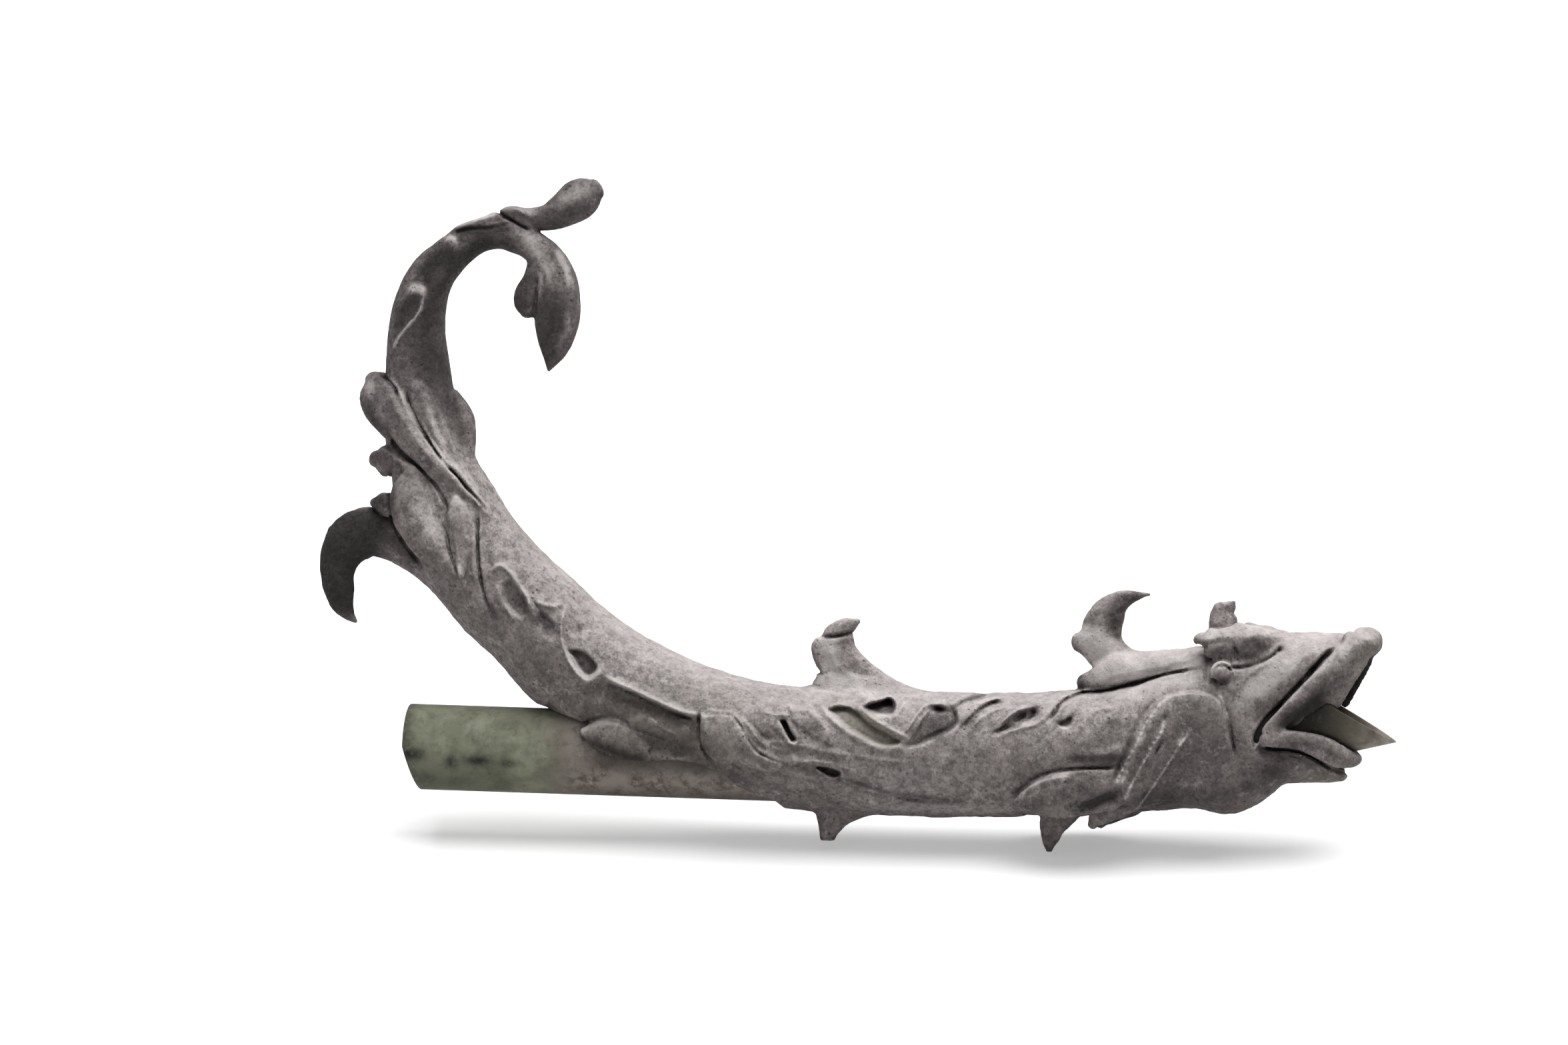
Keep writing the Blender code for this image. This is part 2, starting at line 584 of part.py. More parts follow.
def dragon_casting():
    trunk = Trunk(TRUNK, TRUNK_STATIONS)
    casting = trunk.mesh()
    added = [blade(name, table, NEAR) for name, table in MEDIAN_BLADES.items()]
    added += [blade(name, table, NEAR, pinch=0.85) for name, table in JAWS.items()]
    added += [fin(name, table) for name, table in FINS.items()]
    added += [lip(name, table) for name, table in LIPS.items()]
    added.append(tube("sleeve", [(x, 0, SLEEVE_RADIUS) for x in SLEEVE], PIPE_SIDES))
    cuts = [
        tube("pipe_socket", [(-20, 0, PIPE_RADIUS + FIT_GAP), (SOCKET_END, 0, PIPE_RADIUS + FIT_GAP)], PIPE_SIDES),
        tube("waterway", [(x, z, WATERWAY_RADIUS) for x, z in WATERWAY], WATERWAY_SIDES),
        tube("mouth_hollow", MOUTH_HOLLOW, 16),
        nozzle_seat(),
        below_pipe_edge(),
    ]
    for side, word in ((NEAR, "near"), (FAR, "far")):
        added += [blade(f"{name}_{word}", table, side) for name, table in SIDE_BLADES.items()]
        added += [relief(f"{name}_{word}", table, side, trunk) for name, table in RELIEF.items()]
        eye = Vector((EYE_CENTRE.x, side * EYE_CENTRE.y, EYE_CENTRE.z))
        added.append(ball(f"eye_{word}", eye, EYE_RADIUS))
        cuts += [flank_cutter(f"{name}_{word}", values, side, trunk) for name, values in FLANK_CUTS.items()]
    combine(casting, "UNION", added, "cast_on")
    combine(casting, "DIFFERENCE", cuts, "carved_away")
    return casting


def main():
    for obj in list(bpy.data.objects):
        bpy.data.objects.remove(obj)
    lead = metal("weathered_lead", (0.30, 0.28, 0.27), 0.62, 0.6)
    copper = metal("green_copper", (0.27, 0.31, 0.22), 0.7, 0.3)
    for obj, finish in ((dragon_casting(), lead), (supply_pipe(), copper), (mouth_nozzle(), copper)):
        obj.data.materials.append(finish)


main()
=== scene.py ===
"""Dragon fountain spout: the weathered lead casting, its copper supply pipe and the nozzle in its mouth.

All shapes are worked out in millimetres in the part's own frame. The origin is at the centre of the pipe's
rear end, with +X along the pipe towards the head and +Z up. The dragon is the same on both sides of Y = 0,
so its near half is carved as a field of distances and then mirrored. A negative distance is inside the metal.
"""

import logging
import math
from dataclasses import dataclass, field
from enum import Enum
from typing import Sequence

import bmesh
import bpy
import numpy as np
from mathutils import Matrix, Vector


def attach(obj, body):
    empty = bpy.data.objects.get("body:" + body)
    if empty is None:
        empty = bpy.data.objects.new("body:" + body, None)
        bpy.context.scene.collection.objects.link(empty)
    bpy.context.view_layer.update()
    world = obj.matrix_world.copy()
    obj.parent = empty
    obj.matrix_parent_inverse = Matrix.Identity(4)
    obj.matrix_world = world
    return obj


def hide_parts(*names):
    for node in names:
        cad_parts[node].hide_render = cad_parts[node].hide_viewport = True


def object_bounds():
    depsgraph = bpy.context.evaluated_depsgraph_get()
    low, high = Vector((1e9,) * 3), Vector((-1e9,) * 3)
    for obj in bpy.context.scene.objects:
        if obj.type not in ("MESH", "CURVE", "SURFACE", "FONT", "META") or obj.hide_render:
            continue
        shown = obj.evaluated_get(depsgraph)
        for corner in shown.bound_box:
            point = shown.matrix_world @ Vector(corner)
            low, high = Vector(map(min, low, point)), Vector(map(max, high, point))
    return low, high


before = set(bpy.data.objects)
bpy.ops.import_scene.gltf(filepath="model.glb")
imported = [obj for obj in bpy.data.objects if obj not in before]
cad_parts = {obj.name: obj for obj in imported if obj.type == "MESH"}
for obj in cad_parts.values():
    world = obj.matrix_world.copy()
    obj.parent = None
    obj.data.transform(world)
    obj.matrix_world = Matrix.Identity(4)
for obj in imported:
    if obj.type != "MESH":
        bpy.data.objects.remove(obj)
CAD_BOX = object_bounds()

log = logging.getLogger("dragon_spout")

MM = 1000.0
LINE_SPACING = 2.5
# What is divided by is never less than one of these
NEAR_ZERO = 1e-3
TINY = 1e-6

# A row of measures, whose meaning stands over its table, and a window of a grid
Station = tuple[float, ...]
Window = tuple[slice, ...]
# A drawn line or outline with its two measures
Line = tuple[Sequence[Station], float, float]
Colour = tuple[float, float, float]
Socket = bpy.types.NodeSocket
Value = bpy.types.NodeSocket | float | Colour

# The side drawing of the carving looks this far forward of square, and its x starts behind the pipe's end
DRAWING_ANGLE = math.radians(9.2)
DRAWING_SLANT = math.sin(DRAWING_ANGLE)
DRAWING_STRETCH = 1.0125
DRAWING_START = 5.5


class Node(Enum):
    """The CAD nodes that the pieces stand for."""

    CASTING = "dragon_casting"
    PIPE = "supply_pipe"
    NOZZLE = "mouth_nozzle"


class Slot(Enum):
    """The record's material slots."""

    LEAD = "weathered_lead"
    PIPE_COPPER = "green_copper"
    NOZZLE_COPPER = "nozzle_copper"


class Cut(Enum):
    """How a stroke's height falls away from its middle line."""

    ROUND = "round"
    SHARP = "sharp"


# -----------------------------------------------------------------------------------------------------------
# Paths and distances


def smoothed(stations: Sequence[Station], spacing: float) -> np.ndarray:
    """Runs a centripetal Catmull-Rom curve through stations.

    Args:
        stations: Rows whose first two values are the place; the other values are carried along.
        spacing: Distance between the returned rows.

    Returns:
        An array of rows with as many columns as the stations.
    """
    rows = np.array(stations, float)
    rows = np.vstack([2 * rows[0] - rows[1], rows, 2 * rows[-1] - rows[-2]])
    fine = []
    for i in range(1, len(rows) - 2):
        p0, p1, p2, p3 = rows[i - 1 : i + 3]
        gaps = [max(NEAR_ZERO, math.hypot(*(b - a)[:2])) ** 0.5 for a, b in ((p0, p1), (p1, p2), (p2, p3))]
        t1 = gaps[0]
        t2 = t1 + gaps[1]
        t3 = t2 + gaps[2]
        steps = max(2, round(math.hypot(*(p2 - p1)[:2]) / spacing))
        for t in np.linspace(t1, t2, steps, endpoint=False):
            a1 = p0 + (p1 - p0) * (t / t1)
            a2 = p1 + (p2 - p1) * ((t - t1) / (t2 - t1))
            a3 = p2 + (p3 - p2) * ((t - t2) / (t3 - t2))
            b1 = a1 + (a2 - a1) * (t / t2)
            b2 = a2 + (a3 - a2) * ((t - t1) / (t3 - t1))
            fine.append(b1 + (b2 - b1) * ((t - t1) / (t2 - t1)))
    fine.append(rows[-2])
    return np.array(fine)


@dataclass
class Nearest:
    """Where points lie along a path: the row with its fraction, and how far across it and past its ends."""

    row: np.ndarray
    across: np.ndarray
    past: np.ndarray

    def value(self, column: np.ndarray) -> np.ndarray:
        """A column of the path, read at each point's row."""
        return np.interp(self.row, np.arange(len(column)), column).astype(np.float32)

    def off(self) -> np.ndarray:
        """The distance from the path."""
        return np.hypot(self.across, self.past)


def nearest(path: np.ndarray, px: np.ndarray, pz: np.ndarray) -> Nearest:
    """Finds the nearest place on a path in the XZ plane for many points.

    Args:
        path: Rows that start with x and z.
        px: The points' x.
        pz: The points' z.

    Returns:
        The row, the signed distance across the path and the distance past its ends.
    """
    shape = np.broadcast(px, pz).shape
    best = np.full(shape, np.inf, np.float32)
    row, across, past = (np.zeros(shape, np.float32) for _ in range(3))
    last = len(path) - 2
    for i in range(last + 1):
        ax, az = path[i, :2]
        dx, dz = path[i + 1, :2] - path[i, :2]
        length = math.hypot(dx, dz) or TINY
        t = ((px - ax) * dx + (pz - az) * dz) / length**2
        on = np.clip(t, 0, 1)
        off2 = (px - ax - on * dx) ** 2 + (pz - az - on * dz) ** 2
        side = ((pz - az) * dx - (px - ax) * dz) / length
        over = np.zeros(shape, np.float32)
        if i == 0:
            over = np.where(t < 0, -t * length, over)
        if i == last:
            over = np.where(t > 1, (t - 1) * length, over)
        sideways = np.where(over > 0, side, np.sign(side) * np.sqrt(off2))
        closer = off2 < best
        best, row, across, past = (
            np.where(closer, new, old)
            for new, old in ((off2, best), (i + on, row), (sideways, across), (over, past))
        )
    return Nearest(row, across, past)


def blend(a: np.ndarray, b: np.ndarray, radius: float) -> np.ndarray:
    """The union of two distance fields, with a fillet of about the given radius."""
    if radius <= 0:
        return np.minimum(a, b)
    near = np.maximum(radius - np.abs(a - b), 0) / radius
    return np.minimum(a, b) - near * near * radius / 4


def oval_distance(size: np.ndarray, reach: np.ndarray, deepest: np.ndarray | float) -> np.ndarray:
    """The distance to an oval surface.

    Args:
        size: How far out each point is, in shares of the way to the surface.
        reach: Each point's distance from the oval's middle.
        deepest: The distance in the middle itself, below 0.

    Returns:
        The distances, none of them below the deepest.
    """
    outward = (size - 1) * reach / np.maximum(size, NEAR_ZERO)
    return np.maximum(np.where(size > NEAR_ZERO, outward, deepest), deepest)


def step_up(value: np.ndarray, low: float, high: float) -> np.ndarray:
    """A smooth step from 0 at low to 1 at high."""
    t = np.clip((value - low) / (high - low), 0, 1)
    return t * t * (3 - 2 * t)


def drawn_x(x: np.ndarray, y: np.ndarray | float) -> np.ndarray:
    """The side drawing's x of places in the part."""
    return (x + DRAWING_START - DRAWING_SLANT * np.abs(y)) / DRAWING_STRETCH


def span(axis: np.ndarray, low: float, high: float, spare: int = 0) -> slice:
    """The samples of a rising axis between two values, with some to spare at both ends."""
    first, last = (int(np.searchsorted(axis, value)) for value in (low, high))
    return slice(max(0, first - spare), min(len(axis), last + spare))


def along(parts: Sequence[np.ndarray], direction: Sequence[float]) -> np.ndarray:
    """How far points lie along a direction, from their x, y and z parts."""
    return parts[0] * direction[0] + parts[1] * direction[1] + parts[2] * direction[2]


def outline_distance(outline: Sequence[Station], px: np.ndarray, pz: np.ndarray) -> np.ndarray:
    """The distance of many points to a closed outline in the XZ plane, below 0 inside it."""
    path = smoothed([*outline, outline[0]], LINE_SPACING)
    off = nearest(path, px, pz).off()
    inside = np.zeros(off.shape, bool)
    for (ax, az), (bx, bz) in zip(path[:, :2], np.roll(path[:, :2], -1, 0)):
        if az != bz:
            inside ^= ((az > pz) != (bz > pz)) & (px < (bx - ax) * (pz - az) / (bz - az) + ax)
    return np.where(inside, -off, off)


def lumps(points: np.ndarray, size: float, seed: int) -> np.ndarray:
    """Soft noise between -1 and 1 whose lumps are about the given size, the same on both sides of Y = 0."""
    side, above_zero = 48, (500, 0, 500)
    lattice = np.random.default_rng(seed).random((side, side, side)) * 2 - 1
    place = np.abs(points + above_zero) / size
    base = np.floor(place).astype(int)
    part = place - base
    part = part * part * (3 - 2 * part)
    total = np.zeros(len(points))
    for corner in np.ndindex(2, 2, 2):
        share = np.prod(np.where(corner, part, 1 - part), axis=1)
        total += share * lattice[tuple(((base + corner) % side).T)]
    return total


# -----------------------------------------------------------------------------------------------------------
# The field of distances


@dataclass
class Field:
    """Distances sampled on a grid over the dragon's half with y above 0.

    The second layer of samples lies half a step above Y = 0, and the first one mirrors it.
    """

    step: float
    low: tuple[float, float] = (-88.0, -76.0)
    high: tuple[float, float] = (846.0, 488.0)
    half_width: float = 63.0
    far_outside: float = 40.0
    x: np.ndarray = field(init=False)
    y: np.ndarray = field(init=False)
    z: np.ndarray = field(init=False)
    metal: np.ndarray = field(init=False)

    def __post_init__(self) -> None:
        """Lays out the samples, all far outside the metal."""
        self.x, self.z = (np.arange(a, b, self.step, dtype=np.float32) for a, b in zip(self.low, self.high))
        self.y = (np.arange(round(self.half_width / self.step) + 2, dtype=np.float32) - 0.5) * self.step
        self.metal = np.full([len(axis) for axis in self.axes], self.far_outside, np.float32)

    @property
    def axes(self) -> tuple[np.ndarray, np.ndarray, np.ndarray]:
        """The places of the samples along x, y and z."""
        return self.x, self.y, self.z

    def window(self, low: Sequence[float], high: Sequence[float]) -> Window:
        """The slices of the grid that cover a box."""
        return tuple(span(axis, a, b, 1) for axis, a, b in zip(self.axes, low, high))

    def samples(self, window: Window) -> tuple[np.ndarray, ...]:
        """The x, y and z of a window's samples, each standing along its own axis."""
        x, y, z = (axis[part] for axis, part in zip(self.axes, window))
        return x[:, None, None], y[None, :, None], z[None, None, :]

    def side(self, window: Window) -> list[np.ndarray]:
        """The x and z of every sample in a window's side view."""
        return np.meshgrid(self.x[window[0]], self.z[window[2]], indexing="ij")

    def add(self, window: Window, shape: np.ndarray, fillet: float) -> None:
        """Unites a shape with the metal."""
        self.metal[window] = blend(self.metal[window], shape.astype(np.float32), fillet)

    def cut(self, window: Window, shape: np.ndarray, fillet: float) -> None:
        """Takes a shape away from the metal."""
        self.metal[window] = -blend(-self.metal[window], shape.astype(np.float32), fillet)

    def read(self, points: np.ndarray) -> np.ndarray:
        """The distance at each of many points, on either side of Y = 0."""
        whole, part = [], []
        for value, axis in zip((points[:, 0], np.abs(points[:, 1]), points[:, 2]), self.axes):
            value = (value - axis[0]) / self.step
            whole.append(np.clip(np.floor(value).astype(int), 0, len(axis) - 2))
            part.append(np.clip(value - whole[-1], 0, 1))
        total = np.zeros(len(points), np.float32)
        for corner in np.ndindex(2, 2, 2):
            share = math.prod(p if far else 1 - p for p, far in zip(part, corner))
            total += share * self.metal[tuple(w + far for w, far in zip(whole, corner))]
        return total

    def skin(self) -> tuple[np.ndarray, np.ndarray]:
        """Wraps the metal in four-sided faces by the surface-nets rule, and mirrors them.

        Returns:
            The points in millimetres, and the faces as rows of four point numbers.
        """
        inside = self.metal < 0
        cells, places_in_cells = self.crossed_cells(inside)
        points = np.array([axis[0] for axis in self.axes]) + places_in_cells * self.step
        number = np.full([n - 1 for n in inside.shape], -1, np.int32)
        number[tuple(cells.T)] = np.arange(len(cells))
        near = np.vstack(
            [self.walls(inside, number, axis, leaving) for axis in range(3) for leaving in (True, False)]
        )
        on_middle = cells[:, 1] == 0
        points[on_middle, 1] = 0
        twin = np.arange(len(points))
        twin[~on_middle] = len(points) + np.arange((~on_middle).sum())
        mirrored = points[~on_middle] * (1, -1, 1)
        return np.vstack([points, mirrored]), np.vstack([near, twin[near][:, ::-1]])

    def crossed_cells(self, inside: np.ndarray) -> tuple[np.ndarray, np.ndarray]:
        """Finds the cells that the surface runs through.

        Args:
            inside: Whether each sample is in the metal.

        Returns:
            The cells' numbers along the axes, and in steps the mean place where the surface cuts their edges.
        """
        corners = list(np.ndindex(2, 2, 2))
        shape = [n - 1 for n in inside.shape]
        count = np.zeros(shape, np.int8)
        for corner in corners:
            count += inside[tuple(slice(c, c + n) for c, n in zip(corner, shape))]
        cells = np.argwhere((count > 0) & (count < len(corners)))
        at_corner = {corner: self.metal[tuple((cells + corner).T)] for corner in corners}
        total = np.zeros((len(cells), 3))
        crossed = np.zeros(len(cells))
        for a in corners:
            for axis in (n for n in range(3) if not a[n]):
                va, vb = at_corner[a], at_corner[a[:axis] + (1,) + a[axis + 1 :]]
                cross = (va < 0) != (vb < 0)
                share = np.where(cross, va / np.where(cross, va - vb, 1), 0)
                for n in range(3):
                    total[:, n] += np.where(cross, share if n == axis else a[n], 0)
                crossed += cross
        return cells, cells + total / crossed[:, None]

    @staticmethod
    def walls(inside: np.ndarray, number: np.ndarray, axis: int, leaving: bool) -> np.ndarray:
        """The faces across the edges along one axis that leave the metal, or that enter it."""
        lower = [slice(1, -1)] * 3
        upper = list(lower)
        if axis == 1:
            # The first layer of samples mirrors the second, so no face stands between them
            upper[axis] = slice(2, None)
        else:
            lower[axis], upper[axis] = slice(0, -1), slice(1, None)
        first, second = inside[tuple(lower)], inside[tuple(upper)]
        start = np.array([0 if n == axis != 1 else 1 for n in range(3)])
        edges = np.argwhere((first & ~second) if leaving else (~first & second)) + start
        u, v = (axis + 1) % 3, (axis + 2) % 3
        quad = []
        for du, dv in ((-1, -1), (0, -1), (0, 0), (-1, 0)):
            cell = edges.copy()
            cell[:, u] += du
            cell[:, v] += dv
            quad.append(number[tuple(cell.T)])
        return np.stack(quad if leaving else quad[::-1], 1)


@dataclass
class Loft:
    """A solid swept along a path in the XZ plane, with an oval section.

    Stations hold x, z, half size across the path, y of the middle and half thickness in y. A pinch above 1
    thins the section towards its edges, and one below 1 makes it fuller.
    """

    stations: Sequence[Station]
    pinch: float = 1.0
    fillet: float = 4.0
    spacing: float = 4.0
    cap: float = 6.0
    margin: float = 4.0
    least: float = 0.3

    def build(self, carving: Field) -> tuple[Window, np.ndarray]:
        """The window that the solid needs, and its distances there."""
        path = smoothed(self.stations, self.spacing)
        reach = path[:, 2] + self.fillet + self.margin
        widest = (path[:, 3] + path[:, 4]).max() + self.fillet + self.margin
        low = ((path[:, 0] - reach).min(), 0, (path[:, 1] - reach).min())
        high = ((path[:, 0] + reach).max(), widest, (path[:, 1] + reach).max())
        window = carving.window(low, high)
        place = nearest(path, *carving.side(window))
        half, middle, thick = (np.maximum(place.value(path[:, n]), 0.0)[:, None, :] for n in (2, 3, 4))
        out = carving.samples(window)[1] - middle
        across, past = place.across[:, None, :], place.past[:, None, :]
        inner = -np.minimum(half, thick)
        turned = (np.abs(out) / np.maximum(thick, self.least)) ** (2 / self.pinch)
        beyond = (past / np.clip(-inner, self.least, self.cap)) ** 2
        size = np.sqrt((across / np.maximum(half, self.least)) ** 2 + turned + beyond)
        return window, oval_distance(size, np.sqrt(across**2 + out**2 + past**2), inner)

    def add_to(self, carving: Field) -> None:
        """Unites the solid with the metal."""
        carving.add(*self.build(carving), self.fillet)

    def cut_from(self, carving: Field) -> None:
        """Takes the solid away from the metal."""
        carving.cut(*self.build(carving), self.fillet)


@dataclass
class Fin:
    """An upright fin on the middle line.

    Rows hold z, rear x, front x and half thickness, from the root up or down.
    """

    rows: Sequence[Station]
    fillet: float = 5.0
    margin: float = 8.0
    squareness: float = 2.6

    def add_to(self, carving: Field) -> None:
        """Unites the fin with the metal."""
        rows = np.array(sorted(self.rows))
        low = (rows[:, 1].min() - self.margin, 0, rows[0, 0] - self.margin / 2)
        high = (rows[:, 2].max() + self.margin, rows[:, 3].max() + self.margin, rows[-1, 0] + self.margin / 2)
        window = carving.window(low, high)
        x, y, z = carving.samples(window)
        rear, front, thick = (np.interp(z, rows[:, 0], rows[:, n]) for n in (1, 2, 3))
        lengthways = np.abs((x - (rear + front) / 2) / ((front - rear) / 2)) ** self.squareness
        size = np.sqrt(lengthways + (y / thick) ** 2)
        shape = (size - 1) * np.minimum(thick, (front - rear) / 2)
        past = np.maximum(rows[0, 0] - z, z - rows[-1, 0])
        carving.add(window, np.maximum(shape, past), self.fillet)


@dataclass
class Lip:
    """A thick rim round the front of a jaw, from the corner of the mouth to the middle line.

    Stations hold x, y, z, half height, half thickness and, in degrees, the lean back from upright and the
    tuck of the lower edge.
    """

    stations: Sequence[Station]
    fillet: float = 3.0
    pinch: float = 1.15
    spacing: float = 4.0
    margin: float = 5.0
    swing: float = 14.0
    far_outside: float = 30.0

    def add_to(self, carving: Field) -> None:
        """Unites the lip with the metal."""
        near = np.array(self.stations, float)
        far = near[:-1][::-1] * (1, -1, 1, 1, 1, 1, -1)
        flat_first = [0, 2, 1, 3, 4, 5, 6]
        path = smoothed(np.vstack([near, far])[:, flat_first], self.spacing)[:, flat_first]
        reach = near[:, 3:5].max() + self.margin
        low = (near[:, 0].min() - self.swing, 0, near[:, 2].min() - reach)
        high = (near[:, 0].max() + reach, near[:, 1].max() + self.swing, near[:, 2].max() + reach)
        window = carving.window(low, high)
        spots = np.meshgrid(*(axis.ravel() for axis in carving.samples(window)), indexing="ij")
        best = np.full(spots[0].shape, np.inf, np.float32)
        shape = np.full(spots[0].shape, self.far_outside, np.float32)
        for i, (a, b) in enumerate(zip(path, path[1:])):
            run = b[:3] - a[:3]
            t = along([spot - a[n] for n, spot in enumerate(spots)], run) / max(TINY, run @ run)
            on = np.clip(t, 0, 1)
            off = [spot - a[n] - on * run[n] for n, spot in enumerate(spots)]
            off2 = off[0] ** 2 + off[1] ** 2 + off[2] ** 2
            closer = off2 < best
            best = np.where(closer, off2, best)
            half_high, half_thick, *angles = ((a + b) / 2)[3:]
            lean, tuck = np.radians(angles)
            tall = np.array([-math.sin(lean), math.sin(tuck), math.cos(lean)])
            tall /= np.linalg.norm(tall)
            out = np.cross(tall, run)
            out /= max(TINY, np.linalg.norm(out))
            outward = np.abs(along(off, out) / half_thick) ** (2 / self.pinch)
            size = np.sqrt((along(off, tall) / half_high) ** 2 + outward)
            value = oval_distance(size, np.sqrt(off2), -half_thick)
            if i == 0:
                value = np.maximum(value, -t * math.sqrt(run @ run))
            shape = np.where(closer, value, shape)
        carving.add(window, shape, self.fillet)


# -----------------------------------------------------------------------------------------------------------
# The side drawing, whose heights are carved into both flanks


@dataclass
class Drawing:
    """Heights over the side drawing, in mm: above 0 is raised, below 0 is cut in."""

    step: float = 0.75
    low: tuple[float, float] = (-90.0, -80.0)
    high: tuple[float, float] = (845.0, 492.0)
    x: np.ndarray = field(init=False)
    z: np.ndarray = field(init=False)
    height: np.ndarray = field(init=False)

    def __post_init__(self) -> None:
        """Lays out an empty drawing."""
        self.x, self.z = (np.arange(a, b, self.step, dtype=np.float32) for a, b in zip(self.low, self.high))
        self.height = np.zeros((len(self.x), len(self.z)), np.float32)

    def area(self, path: np.ndarray, margin: float) -> tuple[Window, np.ndarray, np.ndarray]:
        """The part of the drawing round a path, as slices and as the places of its samples."""
        xs, zs = (
            span(axis, path[:, n].min() - margin, path[:, n].max() + margin)
            for n, axis in enumerate((self.x, self.z))
        )
        return (xs, zs), *np.meshgrid(self.x[xs], self.z[zs], indexing="ij")

    def trace(self, points: Sequence[Station], margin: float) -> tuple[Window, np.ndarray, Nearest]:
        """Follows a line: the part of the drawing round it, its path, and where the samples lie along it."""
        path = smoothed(points, LINE_SPACING)
        if path.shape[1] > 2:
            margin += path[:, 2].max()
        window, px, pz = self.area(path, margin)
        return window, path, nearest(path, px, pz)

    def stroke(
        self,
        points: Sequence[Station],
        half: float,
        height: float,
        cut: Cut = Cut.ROUND,
        at_ends: float = 0.25,
        beads: float = 0.0,
    ) -> None:
        """Draws a ridge, or with a height below 0 a groove.

        Args:
            points: The middle line.
            half: Half the width.
            height: Height of the middle over the ground.
            cut: The shape of the section.
            at_ends: The share of the height that is left at both ends.
            beads: The spacing of the beads that the ridge is broken into, or 0.
        """
        window, path, place = self.trace(points, half + 1)
        off = place.off() / half
        profile = np.clip(1 - off**2, 0, 1) ** 2 if cut is Cut.ROUND else np.clip(1 - off, 0, 1)
        if beads:
            profile = profile * (0.6 + 0.4 * np.cos(place.row * (2 * math.pi * LINE_SPACING / beads)))
        self.height[window] += height * profile * (at_ends + (1 - at_ends) * self.fade(place, path))

    def edge(self, points: Sequence[Station], width: float, height: float) -> None:
        """Draws a leaf's edge: raised left of its line, dying away over the width, and nicked at its foot."""
        window, path, place = self.trace(points, width + 3)
        left = place.across
        rise = np.clip(1 - left / width, 0, 1) ** 1.4 * step_up(left, -0.9, 0.7)
        nick = 0.5 * np.exp(-(((left + 1.7) / 1.3) ** 2))
        near = np.exp(-((place.past / 2.0) ** 2))
        self.height[window] += height * (rise - nick) * near * (0.1 + 0.9 * self.fade(place, path))

    @staticmethod
    def fade(place: Nearest, path: np.ndarray) -> np.ndarray:
        """How far a stroke is from its ends: 0 there, and 1 along most of it."""
        run = place.row / (len(path) - 1)
        return np.minimum(step_up(run, -0.02, 0.14), step_up(1 - run, -0.02, 0.14))

    def lobe(self, points: Sequence[Station], height: float, rib: float) -> None:
        """Draws a raised leaf, whose third value is its half width, with a rib along its middle."""
        window, path, place = self.trace(points, 1)
        off = place.off() / np.maximum(place.value(path[:, 2]), 0.5)
        body = np.clip(1 - off**4, 0, 1) ** 0.7
        ridge = np.clip(1 - (off / 0.28) ** 2, 0, 1)
        ground = self.height[window]
        raised = np.maximum(ground, 0) * 0.3 + (height * body + rib * ridge * body)
        self.height[window] = np.where(off < 1, raised, ground)

    def panel(self, outline: Sequence[Station], height: float, edge: float) -> None:
        """Raises or sinks the inside of an outline, over an edge of the given width."""
        window, px, pz = self.area(np.array(outline, float), 3)
        self.height[window] += height * step_up(-outline_distance(outline, px, pz), 0, edge)

    def relief(self, reach: float) -> "Drawing":
        """A drawing of these heights less their mean within a reach, which picks out edges and hollows."""
        picked = Drawing(self.step)
        size = round(reach / self.step)
        mean = self.height
        for axis in (0, 1):
            mean = sum(np.roll(mean, shift, axis) for shift in range(-size, size + 1)) / (2 * size + 1)
        picked.height = self.height - mean
        return picked

    def carve(self, carving: Field) -> None:
        """Moves the field's surface by the drawing's heights, without cutting far into what is thin."""
        thick = np.where(carving.metal < 0, carving.y[None, :, None], 0).max(axis=1)
        deepest = -(0.55 * thick + 0.4)
        columns = (carving.z - self.z[0]) / self.step
        k = np.clip(columns.astype(int), 0, len(self.z) - 2)
        kt = columns - k
        rows_z = self.height[:, k] * (1 - kt) + self.height[:, k + 1] * kt
        for j, y in enumerate(carving.y):
            rows = (drawn_x(carving.x, float(y)) - self.x[0]) / self.step
            i = np.clip(rows.astype(int), 0, len(self.x) - 2)
            it = np.clip(rows - i, 0, 1)[:, None]
            carving.metal[:, j, :] -= np.maximum(rows_z[i] * (1 - it) + rows_z[i + 1] * it, deepest)

    def read(self, points: np.ndarray) -> np.ndarray:
        """The height over each of many points of the part."""
        found = []
        for value, axis in ((drawn_x(points[:, 0], points[:, 1]), self.x), (points[:, 2], self.z)):
            found.append(np.clip(((value - axis[0]) / self.step).astype(int), 0, len(axis) - 1))
        return self.height[tuple(found)]


# -----------------------------------------------------------------------------------------------------------
# Small helpers for meshes and node trees


def link(name: str, data: bpy.types.ID) -> bpy.types.Object:
    """Puts new data into the scene as an object."""
    made = bpy.data.objects.new(name, data)
    bpy.context.scene.collection.objects.link(made)
    return made


def smooth_shading(piece: bpy.types.Object) -> None:
    """Shades every face smooth."""
    faces = piece.data.polygons
    faces.foreach_set("use_smooth", np.full(len(faces), True))


def mesh_object(name: str, points: np.ndarray, faces: np.ndarray) -> bpy.types.Object:
    """Links a mesh object.

    Args:
        name: The object's name.
        points: Places in millimetres.
        faces: Rows of equal length that number the points.

    Returns:
        The object, at the origin and shaded smooth.
    """
    mesh = bpy.data.meshes.new(name)
    mesh.vertices.add(len(points))
    mesh.vertices.foreach_set("co", (np.asarray(points, np.float64) / MM).astype(np.float32).ravel())
    mesh.loops.add(faces.size)
    mesh.loops.foreach_set("vertex_index", faces.astype(np.int32).ravel())
    mesh.polygons.add(len(faces))
    mesh.polygons.foreach_set("loop_start", np.arange(0, faces.size, faces.shape[1], dtype=np.int32))
    mesh.update(calc_edges=True)
    mesh.validate()
    made = link(name, mesh)
    smooth_shading(made)
    return made


